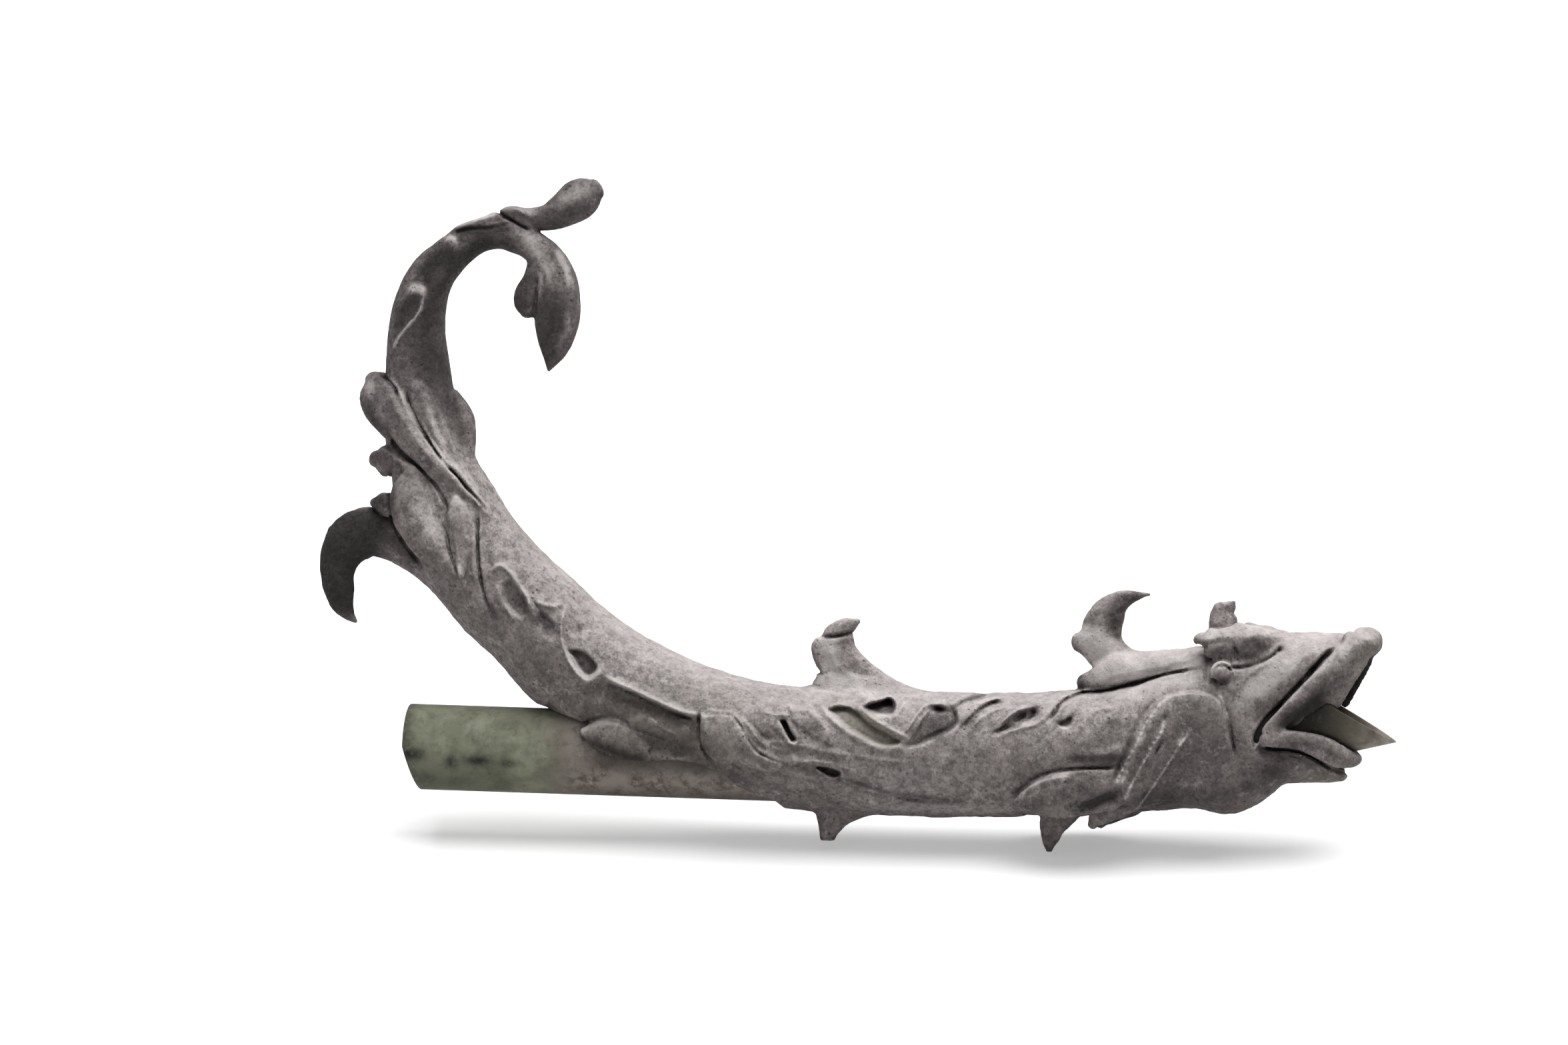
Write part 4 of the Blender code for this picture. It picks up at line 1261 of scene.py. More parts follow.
@dataclass
class Nozzle(Tube):
    """The copper tube in the mouth, cut to a slanting point like a tongue. Tip and cut_top hold x and z."""

    name: str = "mouth_nozzle_skin"
    radius: float = 33.0
    wall: float = 2.0
    length: float = 138.0
    rounding: float = 0.4
    rows: int = 44
    sides: int = 132
    tilt: float = math.radians(14)
    tip: tuple[float, float] = (837.0, 30.5)
    cut_top: tuple[float, float] = (770.0, 68.0)
    fit: float = 0.35
    end_gap: float = 0.5
    run: float = field(init=False)
    rise: float = field(init=False)
    cut: tuple[float, float] = field(init=False)
    finish: CopperFinish = CopperFinish(
        "nozzle_copper", tone(155, 144, 133), tone(74, 71, 58), tone(30, 26, 21), tone(96, 84, 70)
    )

    def __post_init__(self) -> None:
        """Works out the tilt, the slanting cut and where the tube's rear end lies."""
        self.run, self.rise = math.cos(self.tilt), math.sin(self.tilt)
        self.cut = (self.cut_top[0] - self.tip[0], self.cut_top[1] - self.tip[1])
        # How far the cut falls back along the tube for each mm up
        fall = self.cut[0] * self.run + self.cut[1] * self.rise
        self.front_slope = -fall / (self.cut[1] * self.run - self.cut[0] * self.rise)
        self.place = (
            self.tip[0] - self.length * self.run - self.radius * self.rise,
            0.0,
            self.tip[1] - self.length * self.rise + self.radius * self.run,
        )

    def turned(self, x: np.ndarray, z: np.ndarray) -> tuple[np.ndarray, np.ndarray]:
        """How far places lie along the tube from its tip, and how far above its middle."""
        dx, dz = x - (self.tip[0] - self.rise * self.radius), z - (self.tip[1] + self.run * self.radius)
        return dx * self.run + dz * self.rise, dz * self.run - dx * self.rise

    def room(self, x: np.ndarray, y: np.ndarray, z: np.ndarray) -> np.ndarray:
        """The distance to the space that the nozzle needs, with its clearance."""
        forward, up = self.turned(x, z)
        tube = np.sqrt(up**2 + y**2) - (self.radius + self.fit)
        over = ((x - self.tip[0]) * self.cut[1] - (z - self.tip[1]) * self.cut[0]) / math.hypot(*self.cut)
        return np.maximum(np.maximum(tube, over - self.end_gap), -forward - self.length - self.end_gap)

    def build(self, tubes: TubeTree) -> bpy.types.Object:
        """Models and dresses the nozzle."""
        piece = tubes.roll(self, self.finish.build())
        x, y, z = places(piece).T
        inside = np.hypot(self.turned(x, z)[1], y) < self.radius - self.wall * 0.4
        # Painted shade: the tube darkens towards the back of the mouth, deepest under the upper lip, with a
        # painted shadow along the lower lip; inside the tube the shade is lighter.
        shade = 1 - step_up(x - 0.3 * z, 775, 822)
        deep = 1.1 * step_up(798 - x + 0.35 * (z - 40), 0, 34)
        lip_top = 43.5 - 0.0088 * np.maximum(x - 759, 0) ** 2
        by_lip = 1.1 * step_up(lip_top - z, 0, 4.5) * step_up(816 - x, 0, 10)
        none = np.zeros(len(x))
        paint(
            piece,
            shade=np.where(inside, 0.3 * shade, shade),
            stain=np.where(inside, deep, np.maximum(deep, by_lip)),
            rust=none,
            damp=none,
        )
        return piece


# -----------------------------------------------------------------------------------------------------------
# Sizes of the casting's parts, in the part's frame

# The middle of the waterway: x, z
WATERWAY = ((330, 0), (500, 0), (630, 2), (660, 9), (688, 20), (704, 27))
# The hollow of the mouth: x, z, radius
MOUTH_HOLLOW = ((710, 26, 27), (730, 36, 26), (753, 50, 24), (777, 66, 20), (799, 80, 17), (827, 90, 16))

# The outline of the open space under the casting, round the pipe: x, z
PIPE_EDGE: Sequence[Station] = (
    (-120, 38), (114, 38.5), (121, 33), (133, 27), (149, 20), (156, 11), (168, 2), (189, -5), (214, -5),
    (246, -4), (262, -9), (275, -16), (287, -24), (300, -30), (316, -35), (322, -42), (323, -90), (-120, -90),
)

# Leaves and the crest on the middle line: x, z, half width, y, half thickness
MIDDLE_LEAVES: dict[str, Sequence[Station]] = {
    "tail_spoon": (
        (51, 442, 5, 0, 5), (73.5, 450, 7.5, 0, 6), (89.5, 448, 9, 0, 6.5), (104, 449, 11.5, 0, 7),
        (118, 456, 15, 0, 7.5), (130, 464.5, 17.5, 0, 7.5), (139, 470.5, 15, 0, 6.5), (145.5, 474.5, 9, 0, 5),
    ),
    "tail_bud": (
        (67.5, 433, 10, 0, 11), (83.5, 429, 12, 0, 12), (99, 420, 14, 0, 13), (109, 406, 17, 0, 14),
        (114, 390, 19, 0, 14.5), (115, 372, 20, 0, 14), (114.5, 353, 17.5, 0, 12), (113, 337, 12, 0, 9),
        (109.5, 321, 2, 0, 2.5),
    ),
    "tail_bud_lobe": (
        (97, 410, 8, 0, 10), (94, 396, 9.5, 0, 11), (89.5, 384, 11.5, 0, 11), (89, 376, 11, 0, 10.5),
        (91, 370, 8, 0, 8),
    ),
    "tail_crossing": (
        (66, 444, 5, 0, 7), (77, 442.5, 7, 0, 8), (86, 438.5, 7.5, 0, 8), (92, 433, 5.5, 0, 8),
        (98, 428, 4, 0, 6),
    ),
    "rear_hook": (
        (50, 121, 14, 0, 24), (36, 134.5, 16, 0, 21), (20.5, 149, 17, 0, 18), (6, 160.5, 18, 0, 16),
        (-8, 169, 18, 0, 14), (-23.5, 177, 20, 0, 12), (-39, 180, 21, 0, 11), (-55, 173, 22, 0, 10),
        (-64, 159, 18, 0, 9), (-66.5, 145, 15, 0, 8.5), (-64.5, 130, 13.5, 0, 8), (-61, 118, 9.5, 0, 6),
        (-55, 109, 5, 0, 4), (-49.5, 104, 1.5, 0, 2),
    ),
    "whorl_inner_leaf": (
        (46, 232, 3, 0, 9), (42.5, 249, 6, 0, 11), (39.5, 267, 9.5, 0, 12), (36.5, 281, 9, 0, 12),
        (33, 291, 6, 0, 10), (30, 299, 2.5, 0, 8),
    ),
    "back_fin_cap": (
        (361, 92, 9, 0, 8), (362, 101, 13, 0, 7.5), (364.5, 106.5, 12.5, 0, 7), (369.5, 111.5, 9, 0, 6),
        (379, 117, 2.5, 0, 3),
    ),
    "chest_spike": (
        (558.5, -28, 19, 0, 15), (552, -41, 15, 0, 11), (548.5, -52, 10.5, 0, 8), (547.5, -62, 6.5, 0, 6),
        (547.5, -69.5, 2.8, 0, 3.5),
    ),
    "crest_horn": (
        (602, 82, 23, 0, 12), (594, 93, 18.5, 0, 10.5), (587, 105, 17.5, 0, 9.5), (587, 121, 16.5, 0, 9),
        (592, 132, 14.5, 0, 8), (600, 140.5, 9.5, 0, 6.5), (612, 145.5, 5, 0, 4.5), (625, 147.5, 1.6, 0, 2),
    ),
    "crest_band": (
        (679, 96, 8, 0, 26), (660.5, 93, 10.5, 0, 29), (642.5, 89, 13, 0, 29), (622.5, 84, 16.5, 0, 26),
        (604, 80.5, 19.5, 0, 24), (590, 76, 18, 0, 20), (580, 73, 10.5, 0, 16), (572, 72, 7, 0, 10),
    ),
    "crest_lobe": (
        (592, 99, 13, 0, 10), (580, 104, 12.5, 0, 9), (571, 105.5, 10.5, 0, 8), (566, 105.5, 7.5, 0, 5),
    ),
}

# Fins on the middle line: z, rear x, front x, half thickness
FINS: dict[str, Sequence[Station]] = {
    "back_fin": (
        (46, 338, 455, 16), (58, 339, 441, 13), (63, 341, 427, 11.5), (69, 345, 413, 10), (74, 346, 404, 9),
        (80, 344, 395, 8.5), (86, 341, 388, 8), (92, 340, 382, 7.5), (98, 341, 377, 7), (102, 344, 376, 6.5),
    ),
    "belly_fin": (
        (-67.5, 353, 365, 5.5), (-61, 352, 367.5, 7), (-54, 351, 374, 8), (-49, 350, 385, 9),
        (-45, 349, 395, 10), (-34, 345, 403, 12),
    ),
}

# Forms on both sides of the middle: x, z, half width, y, half thickness
SIDE_LEAVES: dict[str, Sequence[Station]] = {
    "whorl_great_leaf": (
        (51, 210, 3, 29, 3.5), (41, 217, 6, 32, 5), (31, 226, 9, 34.5, 7), (22, 234, 10, 36.5, 8.5),
        (10, 245, 11, 35, 9), (-2.5, 258, 13, 31, 9.5), (-16.5, 273, 16, 25, 10), (-27.5, 288, 19, 18, 11),
        (-34, 298.5, 17, 14, 10), (-38, 309, 8, 11, 6),
    ),
    "whorl_back_lobe": (
        (12, 230, 3, 33, 5), (-2, 235, 7, 28, 7), (-15.5, 239, 12, 21, 8.5), (-26.5, 240.5, 13.5, 14, 9),
        (-34.5, 241.5, 7, 10, 6),
    ),
    "whorl_bulb": (
        (52, 136, 2, 43, 5), (37.5, 152, 8, 42, 8), (23, 168, 14, 39, 11), (10, 186, 19.5, 34, 13),
        (3.5, 203, 21.5, 31, 14), (2.5, 219, 17.5, 31, 12), (3.5, 232, 8, 32, 8),
    ),
    "whorl_small_lobe": (
        (-8, 199, 10, 18, 8), (-20, 203, 10.5, 13, 8), (-29.5, 204.5, 9, 9, 7), (-35, 204.5, 4.5, 7, 5),
    ),
    "pipe_leaf_low": (
        (220, 4, 3, 41, 4), (203, 9, 8, 38, 6), (186, 15, 11.5, 34, 6.5), (170, 17.5, 11, 32.5, 6),
        (157.5, 17.5, 7.5, 32, 5), (151, 17, 2.5, 32, 3),
    ),
    "pipe_leaf_high": (
        (242.5, 16, 2.5, 44, 4), (226, 22, 5.5, 42, 5.5), (211.5, 28.5, 7, 39.5, 6), (200, 31, 6.5, 38, 5.5),
        (193, 31, 3, 37.5, 3.5),
    ),
    "brow": (
        (671.5, 110.5, 3, 31, 4), (678, 110, 8, 33, 8), (688, 107, 14, 35, 10), (701.5, 107, 17, 34.5, 12),
        (717.5, 108.8, 16, 31, 11), (733.5, 111.5, 11, 25, 9), (743, 114, 5, 20, 5),
    ),
    "brow_tuft": (
        (689, 112, 11.5, 16, 9), (688, 124, 10.3, 14, 7), (688.2, 132, 9.8, 13, 6),
        (688.8, 136, 8.8, 13, 5.5), (693, 140, 5, 13, 4.5), (694.5, 142.5, 2.5, 13, 3),
    ),
    "chest_leaf": (
        (624.5, -14, 8, 42, 4), (605.5, -16, 16, 50.5, 6), (582, -19, 19, 52.5, 7), (561.5, -23, 18.5, 50, 7),
        (543.5, -26, 14, 47, 6.5), (531.5, -27.5, 9, 45.5, 5), (525, -28.5, 3.5, 45, 3),
    ),
    "chest_tip": (
        (622.5, -22, 9, 33, 5), (609, -29.5, 10.5, 33, 6.5), (597.5, -36, 9, 29, 6.5),
        (589.5, -41.5, 7.5, 25, 6), (586.5, -46, 5, 23, 4),
    ),
    "eyelid": (
        (685.5, 81, 1.6, 45, 3), (687.5, 88, 2.2, 45, 4.5), (691.5, 91.6, 2.4, 45, 4.5),
        (697, 92, 2.4, 45, 4.5), (702, 89, 1.8, 45, 3.5),
    ),
}

# x, z, half height, y, half width
JAWS: dict[str, Sequence[Station]] = {
    "snout": (
        (693, 72, 42, 0, 46), (715.5, 76, 43, 0, 45.5), (733.5, 82, 39, 0, 43.5), (750, 90, 32, 0, 41),
        (764, 96, 26, 0, 38), (779, 101, 21, 0, 33), (792.5, 107, 14, 0, 25),
    ),
    "lower_jaw": (
        (680.5, 1, 30, 0, 42), (693.5, -1, 33, 0, 43), (705.5, 1, 30, 0, 42), (718.5, 6.5, 25, 0, 41),
        (735.5, 10.5, 17.5, 0, 39), (756, 9, 15.5, 0, 34), (772, 6, 12, 0, 28), (782.5, 3.5, 9, 0, 21),
        (790.5, 2, 6, 0, 13),
    ),
}

# Rims of the jaws, as Lip takes them
LIPS: dict[str, Sequence[Station]] = {
    "upper_lip": (
        (731, 40, 31, 6, 5.5, 44, 0), (741, 42, 44, 8, 6.5, 44, 8), (753, 41, 57.5, 9, 7, 44, 12),
        (765.5, 38.5, 70.5, 9.5, 7.5, 44, 16), (778, 35.5, 83.5, 10, 8, 42, 18),
        (790, 30, 96, 10.5, 8.5, 38, 18), (800.5, 22, 106, 11, 9, 30, 14), (808.5, 12, 113, 11.5, 10, 20, 8),
        (811.5, 0, 114, 12, 11, 16, 0),
    ),
    "upper_skirt": (
        (737, 35, 37, 7, 4.5, 48, 30), (752, 34, 48, 10.5, 5, 52, 30), (765, 32.5, 60, 11, 4.5, 66, 22),
        (779, 30, 70, 15.5, 4.5, 74, 14), (788.5, 28, 82, 14, 4.5, 69, 14), (797, 23.5, 92, 11.5, 5, 61, 16),
        (805.5, 15, 101, 9, 6, 50, 18), (810, 0, 106.5, 9, 7, 25, 0),
    ),
    "lower_lip": (
        (724, 40, 29, 7, 5, 0, 0), (740.5, 41.5, 30, 9, 6, 0, 0), (758, 39, 28, 9.5, 6.5, 0, 0),
        (774.5, 34, 24, 11, 7, 0, 0), (789, 26, 18.5, 10.5, 8, 0, 0), (796.5, 16, 16, 8, 8.5, 0, 0),
        (799, 7, 15.5, 7, 8.5, 0, 0), (799.5, 0, 15.5, 7, 8.5, 0, 0),
    ),
}

# Round lumps: x, y, z, radius, fillet. The first is the eye.
KNOBS: Sequence[Station] = (
    (694, 46.5, 83.6, 8.0, 1.2), (674, 30, 111.5, 5.5, 3), (683, 33, 116.5, 5, 3), (706, 33, 119.5, 6.5, 4),
    (695, 38.5, 101, 8, 2.5), (718, 35, 102, 8, 2.5), (722, 30, 117, 7, 4), (737, 22, 113.5, 6, 4),
    (806, 12, 119, 6, 4), (797, 21, 117, 5.5, 4), (815, 10, 111, 6, 4),
)

# Raised leaves: x, z and half width along the middle, then height and rib
LOBES: Sequence[Line] = (
    (((60, 206, 3), (52, 220, 5), (38, 237, 8), (26, 255, 10), (17, 272, 11.5), (9, 289, 12),
      (4, 302, 7)), 4.0, 0.8),
    (((46, 146, 3), (46, 162, 6), (45, 178, 8.5), (42, 192, 10), (40, 202, 9), (39, 209, 4)), 4.0, 0.0),
    (((206, -4, 5), (196, 5, 9), (183, 12, 12), (170, 16, 11.5), (160, 17, 8), (153, 17, 4)), 4.5, 0.0),
    (((326, 44, 3), (334, 38, 8), (343, 32, 9), (352, 24, 7), (360, 16, 3)), 2.5, 0.0),
    (((608, -4, 4), (590, -8, 10), (570, -13, 15), (552, -19, 18), (536, -25, 15), (524, -28, 9)), 1.5, 0.0),
)

# Areas raised or sunk within an outline: outline, height, width of the edge
PANELS: Sequence[Line] = (
    # Tail
    (((-23, 330), (-21, 352), (-16, 370), (-10, 382), (-2, 391), (6, 389), (9, 382), (6, 371), (2, 361),
      (-7, 349), (-15, 337), (-19, 326)), 1.4, 3.5),
    (((-6, 392), (2, 405), (10, 416), (18, 426), (24, 432), (31, 433), (36, 427), (35, 418), (30, 408),
      (22, 399), (12, 391), (3, 387)), 1.0, 5.0),
    # Whorl of leaves
    (((-9, 204), (-5, 211), (3, 212), (10, 205), (11, 195), (5, 186), (-4, 187), (-10, 195)), -0.8, 7.0),
    (((-41, 296), (-36, 303), (-28, 300), (-24, 290), (-28, 279), (-36, 278), (-41, 286)), -1.0, 7.0),
    (((64, 200), (70, 188), (72, 170), (75, 152), (78, 138), (70, 128), (64, 140), (61, 165),
      (61, 185)), -1.6, 5.0),
    # Lower trunk
    (((79, 140), (86, 143), (95, 137), (102, 126), (104, 114), (96, 110), (87, 117), (80, 128)), -4.5, 4.5),
    (((111, 119), (119, 116), (126, 109), (128, 98), (122, 93), (114, 100), (109, 110)), -3.2, 4.5),
    (((136, 119), (143, 112), (150, 103), (146, 95), (139, 97), (135, 108)), -2.0, 4.0),
    (((137, 86.5), (145, 87), (152, 85), (158, 80), (163, 73), (160, 66.5), (155, 64), (150, 67),
      (144, 76)), -9.0, 2.6),
    (((116, 36), (124, 47), (138, 55), (152, 58.5), (166, 60), (180, 55), (193, 50), (207, 44), (221, 38),
      (236, 32), (249, 29), (251, 14), (247, 2), (226, -6), (196, -10), (160, 2), (130, 16)), -3.6, 3.2),
    (((252, 35), (264, 37), (276, 36), (283, 29), (290, 17), (297, 7), (309, 1), (322, -5), (314, -12),
      (296, -9), (277, -4), (262, -2), (254, 8)), 3.0, 2.2),
    (((262, -8), (272, -5), (288, -10), (300, -14), (296, -24), (280, -28), (266, -20)), 1.6, 4.0),
    # Flank
    (((316.5, 33), (321, 33.5), (326, 25), (331.5, 16), (328, 14.5), (322, 22)), -13.0, 1.4),
    (((356, 43), (364, 46.5), (374, 46), (382, 42), (390, 35.5), (399, 29.5), (409, 24.5), (420, 18),
      (412, 13.5), (399, 15), (385, 21.5), (372, 29.5), (362, 38)), -6.0, 3.0),
    (((386, 46), (391, 50), (399, 52), (409, 55), (414, 49), (412, 40), (404, 38), (396, 39.5),
      (389, 42)), -9.0, 4.0),
    (((423, 15), (428, 25), (435, 37), (442, 47), (450, 50.5), (459, 48), (465, 42), (463, 32), (454, 25.5),
      (439, 19)), -5.0, 4.0),
    (((440, 45), (447, 50), (455, 49), (458, 43), (450, 40)), -2.2, 5.0),
    (((493, 26), (500, 33), (508, 42), (518, 48), (529, 51), (535, 45), (530, 39), (519, 36),
      (507, 29)), -4.5, 5.0),
    (((510, 38), (517, 44), (524, 46), (523, 40), (515, 36)), -3.0, 3.0),
    (((548, 38), (554, 41), (561, 45), (561, 37), (556, 33), (550, 35)), -4.5, 2.5),
    (((344, -3.5), (354, -4.5), (364, -6), (370, -9), (369, -13), (361, -13.5), (353, -10)), -9.0, 2.2),
    (((330, 40), (340, 42), (350, 34), (356, 24), (347, 20), (336, 28)), -1.8, 5.0),
    (((318, 6), (334, 10), (350, 8), (348, 1), (334, -1), (320, 0)), -1.8, 3.5),
    (((576, 14), (588, 12), (600, 20), (606, 34), (600, 44), (588, 42), (578, 30)), -2.0, 7.0),
    (((560, 3), (575, 4), (598, 6), (603, 12), (590, 14), (570, 13), (556, 9)), -2.2, 4.0),
    (((572, -24), (586, -20), (598, -18), (602, -26), (590, -31), (577, -36), (570, -32)), -2.0, 6.0),
    # Head
    (((599, -13), (605, 3), (612, 20), (621, 39), (632, 59), (642, 66), (658, 69), (674, 68), (683, 63),
      (689, 50), (694, 33), (696, 15), (697, -5), (694, -24), (680, -31), (655, -32), (630, -33),
      (608, -30)), 3.6, 3.5),
    (((662, -24), (675, -29), (694, -27), (704, -14), (715, -4), (700, -4), (680, -8), (664, -12)), 2.0, 6.0),
    (((700, 52), (708, 66), (716, 78), (726, 88), (722, 94), (710, 88), (700, 76), (695, 62)), -1.6, 6.0),
    (((754, 77), (764, 90), (773, 100), (777, 104), (773, 107), (762, 99), (752, 86)), -3.0, 3.0),
)

# Raised lines: middle line, half width, height
RIDGES: Sequence[Line] = (
    # Tail
    (((-19, 334), (-14, 344), (-8, 352), (-3, 358), (3, 367), (6, 378)), 1.9, 2.6),
    (((26, 435), (38, 441), (50, 445.5), (62, 449.5), (72, 452)), 6.0, 2.6),
    (((70, 456), (80, 456), (88, 452), (95, 448)), 3.0, 1.6),
    (((112, 424), (121, 409), (127, 395), (129, 383)), 3.0, 1.6),
    (((98, 436), (108, 428), (116, 419)), 4.0, 1.4),
    (((122, 458), (132, 462), (141, 468)), 5.0, 1.0),
    # Whorl of leaves
    (((-36, 311), (-26, 306), (-17, 292), (-8, 278), (2, 264), (12, 250), (24, 237), (38, 224), (52, 212),
      (66, 201), (78, 193)), 6.0, 3.0),
    (((-21, 309), (-13, 301), (-9, 291), (-4, 281), (4, 268)), 2.4, 2.6),
    (((12, 286), (17, 277), (18, 266), (24, 256), (31, 246)), 2.4, 1.2),
    (((-27, 252), (-18, 245), (-10, 240), (-2, 236)), 3.4, 2.2),
    (((8, 234), (17, 225), (24, 213), (27, 201)), 4.5, 2.0),
    (((60, 136), (56, 152), (55, 168), (55, 184), (52, 198)), 3.4, 2.6),
    (((-8, 175), (2, 166), (12, 157), (24, 146)), 4.0, 1.4),
    (((34, 182), (37, 168), (41, 154), (46, 142)), 2.4, 1.4),
    # Lower trunk
    (((70, 138), (71, 149), (78, 155), (86, 150), (93, 141), (100, 131), (106, 118), (111, 108)), 3.2, 3.6),
    (((76, 141), (78, 130), (84, 119), (92, 108)), 2.4, 2.2),
    (((108, 126), (116, 123), (126, 122), (134, 124)), 2.6, 2.2),
    (((96, 104), (88, 96), (84, 86)), 4.0, 1.4),
    (((136, 126), (132, 114), (131.5, 99), (134, 86), (140, 74), (147, 65), (155, 60.5), (163, 65),
      (168, 77)), 2.7, 3.2),
    (((168, 66), (180, 59.5), (193, 54.5), (207, 48.5), (221, 42), (236, 37), (250, 35)), 2.8, 2.4),
    (((207, 32), (213, 27), (220, 21.5), (231, 17.5)), 1.8, 2.4),
    (((251, 35), (264, 38), (276, 37), (284, 30), (290, 19), (297, 9), (308, 3), (320, -3)), 2.3, 2.8),
    (((283, 35), (290, 28), (297, 19), (305, 12), (318, 8)), 1.9, 2.0),
    (((232, -26), (244, -22), (258, -24), (270, -18)), 3.0, 1.2),
    (((268, -10), (280, -18), (294, -24), (310, -29)), 2.4, 1.8),
    (((284, 0), (298, -6), (312, -14), (326, -18)), 2.2, 1.6),
    # Flank
    (((302, 40), (312, 37), (322, 37), (332, 30), (336, 20)), 2.2, 1.8),
    (((349, 48), (357, 38), (368, 29), (382, 20), (398, 12.5), (412, 11), (422, 14)), 4.2, 2.6),
    (((382, 47), (389, 41), (397, 35), (406, 30), (416, 25.5), (426, 20)), 2.6, 3.2),
    (((412, 37), (417, 44), (421, 52)), 2.4, 2.2),
    (((421, 24), (427, 34), (433, 43), (440, 51)), 2.6, 3.6),
    (((502, 36), (511, 45), (522, 50)), 2.2, 2.2),
    (((464, 33), (470, 42), (478, 50), (490, 55), (503, 58)), 2.0, 2.4),
    (((476, 30), (483, 38), (492, 45), (503, 49)), 2.0, 2.2),
    (((463, 50), (474, 56), (486, 58.5)), 1.8, 2.0),
    (((498, 24), (508, 29), (520, 33), (532, 37), (540, 45), (545, 54)), 2.4, 2.0),
    (((546, 42), (552, 52), (560, 59), (572, 63)), 2.4, 1.8),
    (((566, 30), (572, 42), (582, 50), (596, 52)), 3.2, 1.6),
    (((302, 12), (318, 14), (336, 12), (356, 8), (380, 5), (405, 2), (430, 1)), 2.6, 1.6),
    (((312, 2), (326, -4), (342, -1), (360, -2), (376, -6), (390, -12)), 2.0, 1.6),
    (((326, -12), (338, -15), (352, -15), (366, -16), (380, -20), (394, -25)), 2.4, 1.8),
    (((322, -26), (331, -22), (343, -21), (353, -25), (359, -31)), 2.2, 1.8),
    (((452, -4), (457, -12), (462, -20)), 2.6, 1.0),
    (((470, -14), (477, -22), (484, -30)), 3.0, 1.0),
    (((519, -30), (524, -19), (534, -13), (547, -8.5), (562, -6)), 2.4, 2.2),
    (((578, -46), (586, -40), (597, -34), (608, -30)), 3.0, 1.4),
    # Head
    (((656, -12), (663, 8), (668, 28), (672, 46)), 1.8, 0.9),
    (((681, 66), (687, 58), (691, 47), (692.5, 37)), 1.8, 2.6),
    (((733, 76), (742, 88), (751, 99), (762, 107)), 3.6, 1.2),
    (((675, 82), (676.5, 88), (680.5, 92), (686, 93), (690.5, 90)), 1.6, 2.2),
    (((698, 90), (708, 91), (718, 95), (728, 100)), 2.2, 1.4),
    (((690, 70), (698, 74), (704, 82), (714, 88)), 3.0, 1.2),
    (((722, 30), (735, 28), (750, 29), (765, 27), (778, 22), (790, 16)), 3.0, 1.2),
    (((600, 78), (620, 84), (640, 89), (658, 93)), 4.0, 1.2),
    (((580, 72), (590, 76), (602, 82)), 3.0, 1.4),
    (((563, 100), (570, 108), (578, 112)), 3.0, 1.2),
    (((577, 94), (584, 104), (588, 118), (594, 132), (606, 142)), 3.6, 1.2),
    (((344, 96), (347, 84), (353, 74), (360, 66)), 3.0, 1.4),
    (((356, 96), (361, 84), (370, 74), (384, 66)), 4.0, 1.2),
)

# Two lines that are both carved and toned: the gill cover's rear rim, and a slot by the flank's petals
GILL_RIM: Sequence[Station] = ((599, -10), (605, 4), (613, 20), (618, 32), (625, 45), (632, 55), (638, 63))
PETAL_SLOT: Sequence[Station] = ((468, 30), (475, 38), (483, 46), (491, 51), (502, 54.5))

# Rims broken into beads: middle line, half width, height
BEADS: Sequence[Line] = (
    (GILL_RIM, 1.9, 2.6),
    (((606, -24), (609, -18), (612, -10), (617, 0), (622, 10), (627, 22), (634, 32), (637, 42)), 1.7, 2.3),
    (((616, -33), (620, -28), (628, -15), (634, -5), (640, 5), (645, 15), (650, 22), (657, 32)), 1.7, 2.3),
)

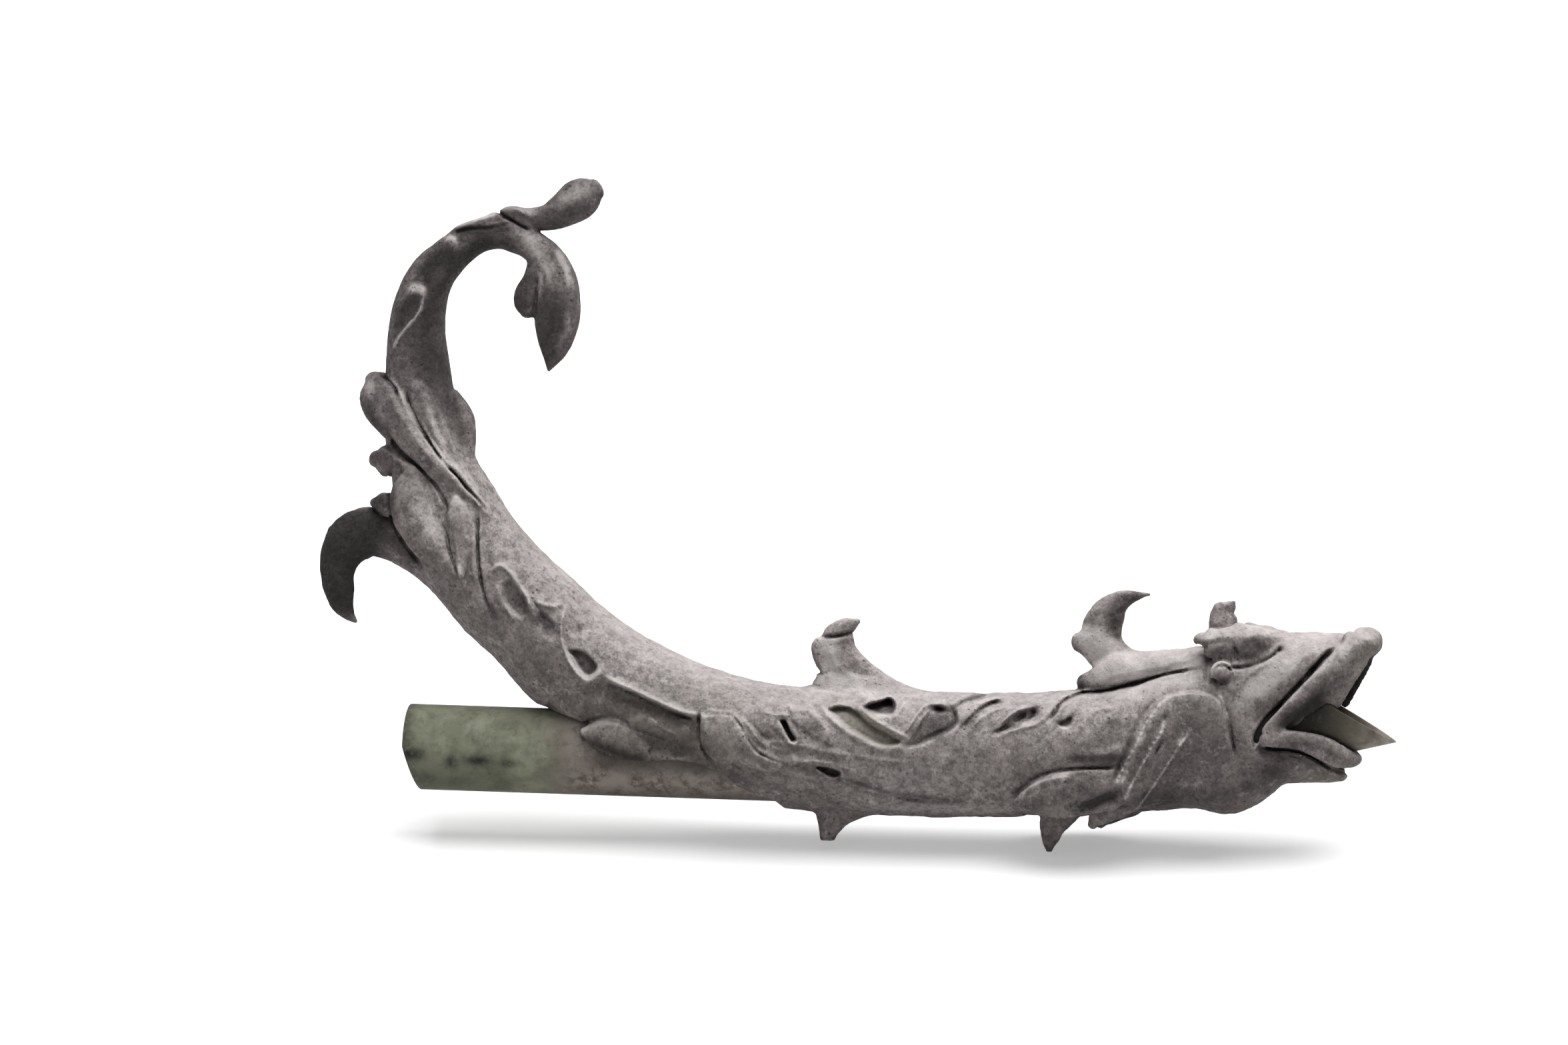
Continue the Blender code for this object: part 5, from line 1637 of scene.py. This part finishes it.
# Cut lines: middle line, half width, depth
CREASES: Sequence[Line] = (
    # Tail
    (((28, 433), (42, 437), (58, 438), (70, 441), (78, 443)), 3.2, -3.4),
    (((62, 456), (68, 451.5), (76, 447), (85, 442), (95, 437)), 2.6, -5.0),
    (((103, 402), (102, 392), (101, 380), (99, 368)), 2.4, -1.2),
    (((109, 412), (113, 399), (116, 386)), 3.4, -1.8),
    (((-22, 322), (-16, 331), (-8, 343), (2, 355)), 2.0, -1.6),
    # Whorl of leaves
    (((-28, 312), (-21, 307), (-15.5, 302), (-13, 294)), 2.2, -3.6),
    (((-6, 302), (-4, 292), (2, 280), (7, 270), (12, 262), (18, 253), (24, 245), (30, 238)), 2.0, -4.6),
    (((30, 238), (38, 230), (46, 221), (53, 214), (58, 209), (64, 202)), 2.4, -7.0),
    (((-22, 266), (-15, 256), (-8, 248), (-1, 242), (5, 238), (12, 231), (18, 225), (24, 217), (28, 210),
      (32, 201), (28, 192)), 2.8, -5.0),
    (((-15, 236), (-17.5, 224), (-18, 208), (-15.5, 192), (-10, 179), (-3, 170), (5, 160),
      (13, 152)), 3.0, -4.5),
    (((-12, 239), (-9, 234), (-6, 229)), 1.8, -2.4),
    (((28, 189), (33, 178), (36, 164), (43, 145)), 2.2, -2.8),
    (((58, 200), (58, 188), (58.5, 172), (60, 158), (63, 140), (67, 126), (72, 115)), 2.2, -5.2),
    (((26, 292), (30, 278), (36, 262)), 4.0, -1.4),
    (((19, 283), (22, 270), (28, 258)), 1.6, -1.2),
    (((66, 202), (76, 196), (84, 187)), 2.4, -1.2),
    # Lower trunk
    (((106, 127), (112, 119), (118, 108)), 2.0, -2.2),
    (((165, 62), (178, 56), (192, 51), (206, 45), (220, 38.5), (236, 33), (250, 31)), 3.2, -3.6),
    (((150, 22), (158, 27), (170, 31), (182, 30.5), (190, 25), (191, 20)), 2.6, -3.2),
    (((192, 23), (200, 20), (210, 17), (222, 13)), 2.6, -3.0),
    (((249.5, 38), (250, 26), (251, 12), (257, 2), (264, -4)), 2.2, -4.4),
    (((279, 33), (287, 24), (293, 13), (301, 5), (312, -1)), 1.8, -1.8),
    (((292, 31), (300, 22), (309, 16)), 2.0, -2.2),
    (((276, -2), (284, -9), (297, -17), (312, -22)), 2.2, -2.4),
    # Flank
    (((354, 48), (360, 40), (371, 31), (384, 22)), 2.0, -1.6),
    (((422, 14), (435, 18.5), (450, 26), (460, 31), (464, 38), (462, 45), (456, 50)), 3.4, -5.6),
    (((439, 45), (446, 48), (453, 46)), 3.0, -3.0),
    (((464, 49), (472, 54.5), (480, 57.5), (490, 59)), 1.9, -2.6),
    (((494, 27), (505, 32), (518, 37), (530, 43)), 2.4, -3.0),
    (((524, 40), (529, 46), (533, 51)), 3.6, -3.0),
    (PETAL_SLOT, 2.0, -3.8),
    (((465, 34), (472, 44), (481, 52), (493, 57)), 1.8, -2.0),
    (((541, 39), (546, 46), (550, 52), (557, 58), (566, 62), (574, 64)), 2.6, -5.0),
    (((358, -12), (367, -15.5), (380, -20.5), (395, -26), (416, -28.5), (438, -31), (460, -32.5)), 2.4, -3.4),
    (((374, -17), (388, -18), (404, -20)), 1.8, -1.4),
    (((324, -30), (331, -26.5), (342, -26), (351, -29), (357, -35)), 2.0, -2.6),
    (((308, 28), (318, 18), (330, 6)), 2.4, -1.6),
    (((515, -30), (517, -22), (525, -13.5), (536, -6)), 2.2, -1.6),
    (((530, -9.5), (539, -5), (548, -2), (565, 0), (585, 1), (600, 2.5)), 2.4, -3.8),
    (((524, -25), (536, -17.5), (550, -13), (566, -11)), 2.4, -1.8),
    (((518, -37), (528, -41), (538, -42)), 2.0, -2.6),
    (((596, -22), (586, -27), (577, -35)), 3.0, -3.0),
    (((599, 4), (604, 14), (612, 32), (621, 49), (630, 61)), 2.6, -3.0),
    (((595, -14), (599, -2), (602, 6)), 2.4, -3.0),
    # Head
    (((614, -16), (621, -3), (629, 12), (636, 26)), 2.2, -2.2),
    (((626, -22), (634, -9), (641, 3), (648, 14)), 2.0, -2.0),
    (((631, 16), (634, 22), (637, 28)), 2.6, -2.8),
    (((635, 42), (636.5, 44.5), (638, 47)), 2.6, -3.4),
    (((668, -6), (676, 14), (679, 34)), 2.0, -1.2),
    (((685, 62), (690, 50), (692, 40), (694, 28), (697.5, 17)), 2.5, -5.0),
    (((713.5, 24), (714, 31), (717.5, 40), (724, 49), (731, 56.5), (741, 68), (750, 78), (758, 87), (767, 98),
      (775, 106)), 2.9, -9.0),
    (((714.5, 26), (715, 31), (717, 37)), 5.4, -8.0),
    (((756, 85), (764, 94), (773, 104)), 4.6, -5.0),
    (((717, 24), (728, 22), (740, 22), (752, 20), (765, 14), (775, 8), (785, 4), (793, 4)), 2.8, -7.0),
    (((689, 88.5), (697, 89), (706, 90.5), (715, 93.5), (724, 98), (731, 104)), 2.9, -6.6),
    (((730, 103), (731.5, 104.5), (733, 106)), 3.6, -6.0),
    (((672, 74), (670.5, 83), (672, 91), (677, 98)), 2.4, -3.4),
    (((693, 107), (695.5, 101), (696.5, 94)), 2.6, -4.6),
    (((677, 79), (681, 76), (686, 75), (690, 78)), 2.6, -3.0),
    (((666, 106), (676, 108.5), (686, 110), (694, 108)), 4.4, -2.2),
    (((698, 109), (707, 111.5), (716, 110)), 4.6, -2.0),
    (((663, 109), (668, 105), (673, 104)), 2.2, -3.0),
    (((673, 122), (684, 121), (695, 124)), 2.0, -1.4),
    (((570, 63.5), (582, 64.5), (590, 66), (600, 69), (610, 72), (620, 75), (640, 82), (650, 84),
      (663, 86.5)), 2.4, -5.4),
    (((566, 87), (573, 86.5), (579, 84)), 2.4, -3.4),
    (((609, 82), (626, 83), (644, 86)), 1.6, -1.0),
    (((351, 102.5), (362, 104), (377, 108)), 2.2, -3.4),
    (((346, 76), (352, 72), (358, 75)), 2.4, -1.8),
    (((340, 64), (352, 60), (368, 57), (386, 56)), 2.4, -1.2),
)

# The rim over the eye, from its front to its rear: x, z
EYE_RING: Sequence[Station] = ((694, 82), (691.5, 89), (685, 92.5), (678, 90.5), (674.5, 84), (675.5, 77))

# Leaf edges, raised on the left of the line: line, width, height
EDGES: Sequence[Line] = (
    # The mantle over the lower trunk, then the collar round the pipe
    (((166, 62), (178, 58), (192, 53), (206, 47), (220, 40.5), (236, 35), (250, 31)), 9.0, 3.6),
    (((250, 38), (250.5, 26), (252, 12), (258, 1), (266, -5)), 10.0, 3.4),
)

# Strokes of tone, painted shade and painted light: middle line, half width, and how much paler (above 0) or
# darker (below 0)
TONES: Sequence[Line] = (
    # Tail
    (((24, 300), (12, 330), (8, 360), (14, 385), (28, 405), (50, 420), (75, 424)), 22, -0.4),
    (((-14, 352), (-10, 368), (-4, 376)), 8, -0.4),
    (((4, 394), (12, 408), (22, 418)), 13, -0.4),
    (((-5, 386), (1, 387), (6, 383)), 6.5, 1.3),
    (((23, 429), (29, 428), (33, 422)), 5, 0.8),
    (((30, 441), (46, 446), (62, 450.5)), 4.5, 0.8),
    (((34, 435), (54, 437), (74, 438)), 5, -0.7),
    (((-18, 336), (-13, 345), (-7, 353), (-1, 360), (4, 369), (6, 378)), 2.2, 0.9),
    (((70, 455), (84, 455), (98, 452)), 4, 0.5),
    (((86, 430), (98, 422), (108, 408), (114, 396)), 13, 0.7),
    (((118, 420), (126, 404), (129, 390)), 6, 0.6),
    (((103, 402), (104, 392), (103, 382)), 3, 0.7),
    (((116, 376), (116, 356), (113, 336)), 17, -0.3),
    (((128, 370), (127, 355), (122, 340)), 5, 0.35),
    (((90, 396), (88, 382), (90, 372)), 9, -0.25),
    (((118, 462), (132, 470), (142, 474)), 9, 0.6),
    (((100, 446), (120, 448), (140, 460)), 8, -0.2),
    (((8, 392), (22, 402)), 9, 0.25),
    # Whorl of leaves
    (((8, 215), (12, 200), (22, 180)), 14, 0.3),
    (((-24, 312), (-12, 298), (10, 264), (40, 226), (64, 204)), 4.5, 0.6),
    (((-38, 284), (-32, 272), (-22, 262)), 8, -0.55),
    (((-38, 308), (-37, 296)), 7, 0.5),
    (((-22, 284), (-8, 262), (10, 242), (26, 226)), 6, -0.3),
    (((-34, 244), (-24, 240), (-14, 234)), 11, -0.4),
    (((-32, 208), (-18, 204)), 9, -0.7),
    (((-14, 222), (-16, 205), (-12, 190)), 5, -0.5),
    (((-30, 190), (-14, 172), (8, 152)), 12, -0.5),
    (((30, 292), (36, 272), (44, 252)), 9, -0.3),
    (((10, 296), (16, 276), (26, 256)), 5, 0.35),
    (((38, 208), (44, 200), (52, 198)), 5, 0.4),
    (((40, 228), (50, 217), (64, 202)), 2.5, -0.8),
    # Lower trunk
    (((90, 152), (86, 157), (80, 154)), 5, 0.5),
    # The next two are painted shade under the mantle's edge and on the lower trunk's underside.
    (((165, 54), (200, 41), (240, 28)), 8, -0.7),
    (((150, 30), (175, 38), (200, 34)), 12, -0.3),
    (((200, 14), (225, 8), (250, 2)), 15, -0.65),
    (((158, 9), (172, 4), (190, -2), (208, -5)), 9, -0.85),
    (((158, 23), (170, 25.5), (180, 25)), 4, 0.5),
    (((194, 30), (203, 32), (212, 27)), 4, 0.5),
    (((250, -6), (272, -12), (292, -24)), 8, -0.5),
    (((255, 20), (258, 8), (266, 0)), 6, -0.35),
    (((134, 88), (142, 72), (154, 61), (165, 66)), 2.5, 0.5),
    (((70, 122), (73, 115), (76, 110)), 5, -0.6),
    (((84, 130), (94, 124), (100, 116)), 9, -0.35),
    (((104, 112), (116, 108), (124, 100)), 9, -0.45),
    # Flank
    (((530, -25), (560, -18), (590, -12)), 17, -0.35),
    (((562, -4), (580, -4), (600, -5)), 5, -0.4),
    # Painted shade in the hollow between the chest leaf and the small fin.
    (((566, -34), (576, -30), (590, -24), (600, -20)), 8, -1.2),
    (((566, 78), (567, 68)), 5, -0.6),
    (((255, 56), (320, 55)), 10, -0.07),
    (((472, 34), (490, 36)), 6, -0.2),
    (((560, 8), (580, 6), (600, 8)), 9, -0.7),
    (((355, 68), (358, 85), (352, 98)), 14, 0.9),
    (((350, 62), (372, 66), (400, 62)), 12, 1.0),
    (((352, 104), (364, 104.5), (375, 108)), 3, -0.8),
    (((440, 36), (450, 32), (456, 38)), 9, -0.25),
    (((506, 38), (520, 43), (531, 46)), 8, -0.5),
    (((390, -38), (450, -38), (520, -36)), 6, 0.35),
    (((385, -15), (430, -12), (500, -10)), 26, 0.3),
    (((426, 16), (440, 21), (455, 28), (463, 36)), 5, -0.6),
    (((432, 24), (445, 33), (456, 42)), 11, -0.5),
    (PETAL_SLOT, 3, -0.4),
    (((461, 47), (467, 51.5), (475, 55), (486, 58)), 3, -0.6),
    (((495, 27), (505, 31), (516, 34)), 4, -0.4),
    (((390, 45), (400, 46), (410, 48)), 7, -0.5),
    (((548, 38), (556, 40), (561, 43)), 5, -0.6),
    (((320, -2), (345, -10), (370, -16), (400, -24)), 6, -0.4),
    (((300, 14), (312, 22), (320, 10)), 7, -0.3),
    (((335, 32), (345, 26), (352, 20)), 8, -0.35),
    (((372, -15), (390, -20), (410, -25), (440, -28), (470, -31)), 3, -0.45),
    # Neck and head
    # Painted shade inside the mouth under the upper lip.
    (((741, 42), (752, 50), (762, 56), (773, 61)), 5, -0.55),
    (((738, 104), (760, 104)), 12, -0.3),
    (((764, 78), (780, 88)), 9, -0.3),
    # The next two are painted light on the crest band, whose lower part faces down.
    (((574, 90), (590, 86), (620, 88), (655, 94)), 15, 1.0),
    (((576, 72), (600, 77), (625, 84), (645, 88)), 8, 1.1),
    (((570, 116), (580, 108), (592, 102)), 9, 0.85),
    (((702, 74), (722, 72), (738, 86)), 12, 0.35),
    (((772, 84), (782, 98), (790, 110)), 8, 0.3),
    (((600, 60), (630, 68), (660, 76)), 10, 0.4),
    (((567, 108), (577, 112), (590, 104)), 13, 1.0),
    (((595, 116), (595, 130), (603, 140), (616, 145)), 11, -0.75),
    (((568, 105), (576, 98), (584, 95)), 8, 0.6),
    (((640, -15), (650, 15), (665, 40)), 34, -0.5),
    (((612, -24), (650, -24), (700, -20)), 16, -0.45),
    (((607, -14), (613, 0), (621, 20), (630, 40)), 5, -0.4),
    (((700, -12), (720, -4), (738, 6)), 16, -0.45),
    (((680, -20), (690, 10), (690, 40)), 20, -0.3),
    (GILL_RIM, 1.5, 0.6),
    (((606, -24), (612, -10), (622, 10), (634, 32), (637, 42)), 1.6, 0.8),
    (((616, -33), (628, -15), (640, 5), (650, 22), (657, 32)), 1.6, 0.8),
    (((649, 24), (654, 30)), 3.5, 0.8),
    (((598, -2), (604, 12), (611, 27)), 4, -0.7),
    (((676, 73), (684, 62), (690, 47)), 2, 0.8),
    (((700, 60), (720, 80), (745, 100), (765, 112)), 16, 0.85),
    (((666, 114), (690, 118), (715, 120), (738, 117)), 7, 0.8),
    # The next two are painted shade under the brow.
    (((676, 101), (690, 102), (705, 100), (718, 103)), 9, -0.7),
    (((700, 107), (708, 109), (716, 107)), 5, -0.8),
    # Painted light on the eye's upper rim, then painted shade under the eye.
    (((675, 83), (677, 89), (681.5, 92), (687, 92), (691, 89)), 2, 0.9),
    (((681, 76.5), (688, 78)), 4.5, -0.7),
    (((785, 118), (795, 120), (808, 116)), 6, 0.4),
    # The next four are painted shade on the upper lip's tucked skirt, inside the mouth's corner and along the
    # nozzle's lower edge.
    (((757, 66), (775, 74), (790, 84)), 12, -0.45),
    (((735, 45), (750, 55), (766, 64)), 11, -0.95),
    (((733, 40), (742, 47)), 6, -0.6),
    (((740, 40), (762, 37.5), (782, 31), (798, 22)), 3.5, -0.9),
    (((735, 28), (760, 28), (780, 20)), 10, -0.55),
    (((700, 8), (720, 8), (738, 8)), 20, -0.3),
)

# Dark spots on the pipe: x, z, half width, half height, depth
PIPE_STAINS: Sequence[Station] = (
    (11, -6, 9, 6, 0.9), (42, -11.5, 5, 6, 0.9), (64, -9.5, 12, 4.5, 1.1), (90, -11, 7, 3.5, 0.9),
    (59, 9, 3, 5, 0.45), (18, -27, 16, 7, 0.6), (50, -28, 18, 5, 0.4), (88, -27, 14, 5, 0.35),
    (106, -1, 5, 5, 0.3), (115, 20, 4, 7, 0.35),
)


@dataclass
class Studio:
    """The floor, the lights and the camera. Places are in metres."""

    target: tuple[float, float, float] = (0.3139, 0.0, 0.1983)
    frame_width: float = 1.317
    distance: float = 12.0
    roll: float = math.radians(1.74)
    sensor_width: float = 36.0
    farthest: float = 60.0
    floor_height: float = -0.0775
    key_from: tuple[float, float, float] = (0.18, -0.22, 0.96)
    key_strength: float = 3.4
    key_softness: float = math.radians(62)
    fill_strength: float = 0.3
    floor_white: float = 0.9
    floor_bounce: float = 0.7
    floor_glow: float = 0.33
    floor_roughness: float = 0.9
    slope_behind: float = math.radians(14)
    slope_in_front: float = math.radians(28)
    floor_lean: float = math.radians(0.6)
    floor_half: float = 9000.0
    bend_half: float = 100.0
    bend_margin: float = 20.0
    bend_rows: int = 25
    white: Colour = (1.0, 1.0, 1.0)

    def build(self) -> None:
        """Sets up everything round the part."""
        self.camera()
        self.floor()
        self.sun()
        self.surroundings()
        bpy.context.scene.view_settings.view_transform = "Standard"

    def sun(self) -> None:
        """Hangs one wide soft light above the head's side."""
        lamp = bpy.data.lights.new("key", "SUN")
        lamp.energy = self.key_strength
        lamp.angle = self.key_softness
        link("key", lamp).rotation_euler = Vector(self.key_from).to_track_quat("Z", "Y").to_euler()

    def surroundings(self) -> None:
        """Sets a white backdrop that lights the part only faintly."""
        world = bpy.data.worlds.new("studio")
        world.use_nodes = True
        wiring = Wiring(world.node_tree)
        fill = world.node_tree.nodes["Background"]
        wiring.feed(fill.inputs["Color"], self.white)
        wiring.feed(fill.inputs["Strength"], self.fill_strength)
        backdrop = wiring.node("ShaderNodeBackground", {"Color": self.white})
        seen = wiring.node("ShaderNodeLightPath", {}).outputs["Is Camera Ray"]
        either = wiring.node("ShaderNodeMixShader", {0: seen, 1: fill.outputs[0], 2: backdrop.outputs[0]})
        wiring.feed(world.node_tree.nodes["World Output"].inputs["Surface"], either.outputs[0])
        bpy.context.scene.world = world

    def camera(self) -> None:
        """Places a long lens a little forward of square to the dragon's side."""
        lens = bpy.data.cameras.new("camera")
        lens.sensor_width = self.sensor_width
        lens.lens = self.sensor_width * self.distance / self.frame_width
        lens.clip_end = self.farthest
        eye = link("camera", lens)
        back = Vector((math.sin(DRAWING_ANGLE), -math.cos(DRAWING_ANGLE), 0))
        eye.location = Vector(self.target) + back * self.distance
        turn = (-back).to_track_quat("-Z", "Y").to_matrix().to_4x4() @ Matrix.Rotation(self.roll, 4, "Z")
        eye.rotation_euler = turn.to_euler()
        bpy.context.scene.camera = eye

    def floor(self) -> None:
        """Lays a wide pale sheet under the fins, which falls away in front of them and rises behind.

        The sheet throws less light back up than it shows.
        """
        sampled = self.bend_half + self.bend_margin
        y = np.array([-self.floor_half, *np.linspace(-sampled, sampled, self.bend_rows), self.floor_half])
        front, behind = math.tan(self.slope_in_front), math.tan(self.slope_behind)
        slope = front + (behind - front) * step_up(y, -self.bend_half, self.bend_half)
        z = np.concatenate([[0], np.cumsum((slope[1:] + slope[:-1]) / 2 * np.diff(y))])
        z += self.floor_height * MM - np.interp(0, y, z)
        middle, lean = self.target[0] * MM, math.tan(self.floor_lean)
        edges = (-self.floor_half, self.floor_half)
        sides = [np.stack([np.full(len(y), x), y, z + (x - middle) * lean], 1) for x in edges]
        near = np.arange(len(y) - 1)
        faces = np.stack([near, near + len(y), near + len(y) + 1, near + 1], 1)
        floor = mesh_object("studio_floor", np.vstack(sides), faces)
        bench = Bench.start("studio_white")
        seen = bench.node("ShaderNodeLightPath", {}).outputs["Is Camera Ray"]
        shown = bench.ramp(seen, 0.0, 1.0, self.floor_bounce, self.floor_white)
        glow = bench.ramp(seen, 0.0, 1.0, 0.0, self.floor_glow)
        bench.surface({"Base Color": shown, "Emission Color": self.white, "Emission Strength": glow})
        bench.surface({"Roughness": self.floor_roughness})
        floor.data.materials.append(bench.material)


def install(piece: bpy.types.Object, node: Node, slot: Slot) -> None:
    """Gives a piece its body, hides the CAD node that it stands for and logs its triangles."""
    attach(piece, "root")
    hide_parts(node.value)
    log.info("%s: %d triangles", piece.name, sum(len(p.vertices) - 2 for p in piece.data.polygons))


def main() -> None:
    """Builds the pieces and the studio."""
    logging.basicConfig(level=logging.INFO, format="%(name)s %(message)s")
    Studio().build()
    tubes = TubeTree()
    install(SupplyPipe().build(tubes), Node.PIPE, Slot.PIPE_COPPER)
    install(Nozzle().build(tubes), Node.NOZZLE, Slot.NOZZLE_COPPER)
    install(Casting().build(), Node.CASTING, Slot.LEAD)


if __name__ == "__main__":
    main()
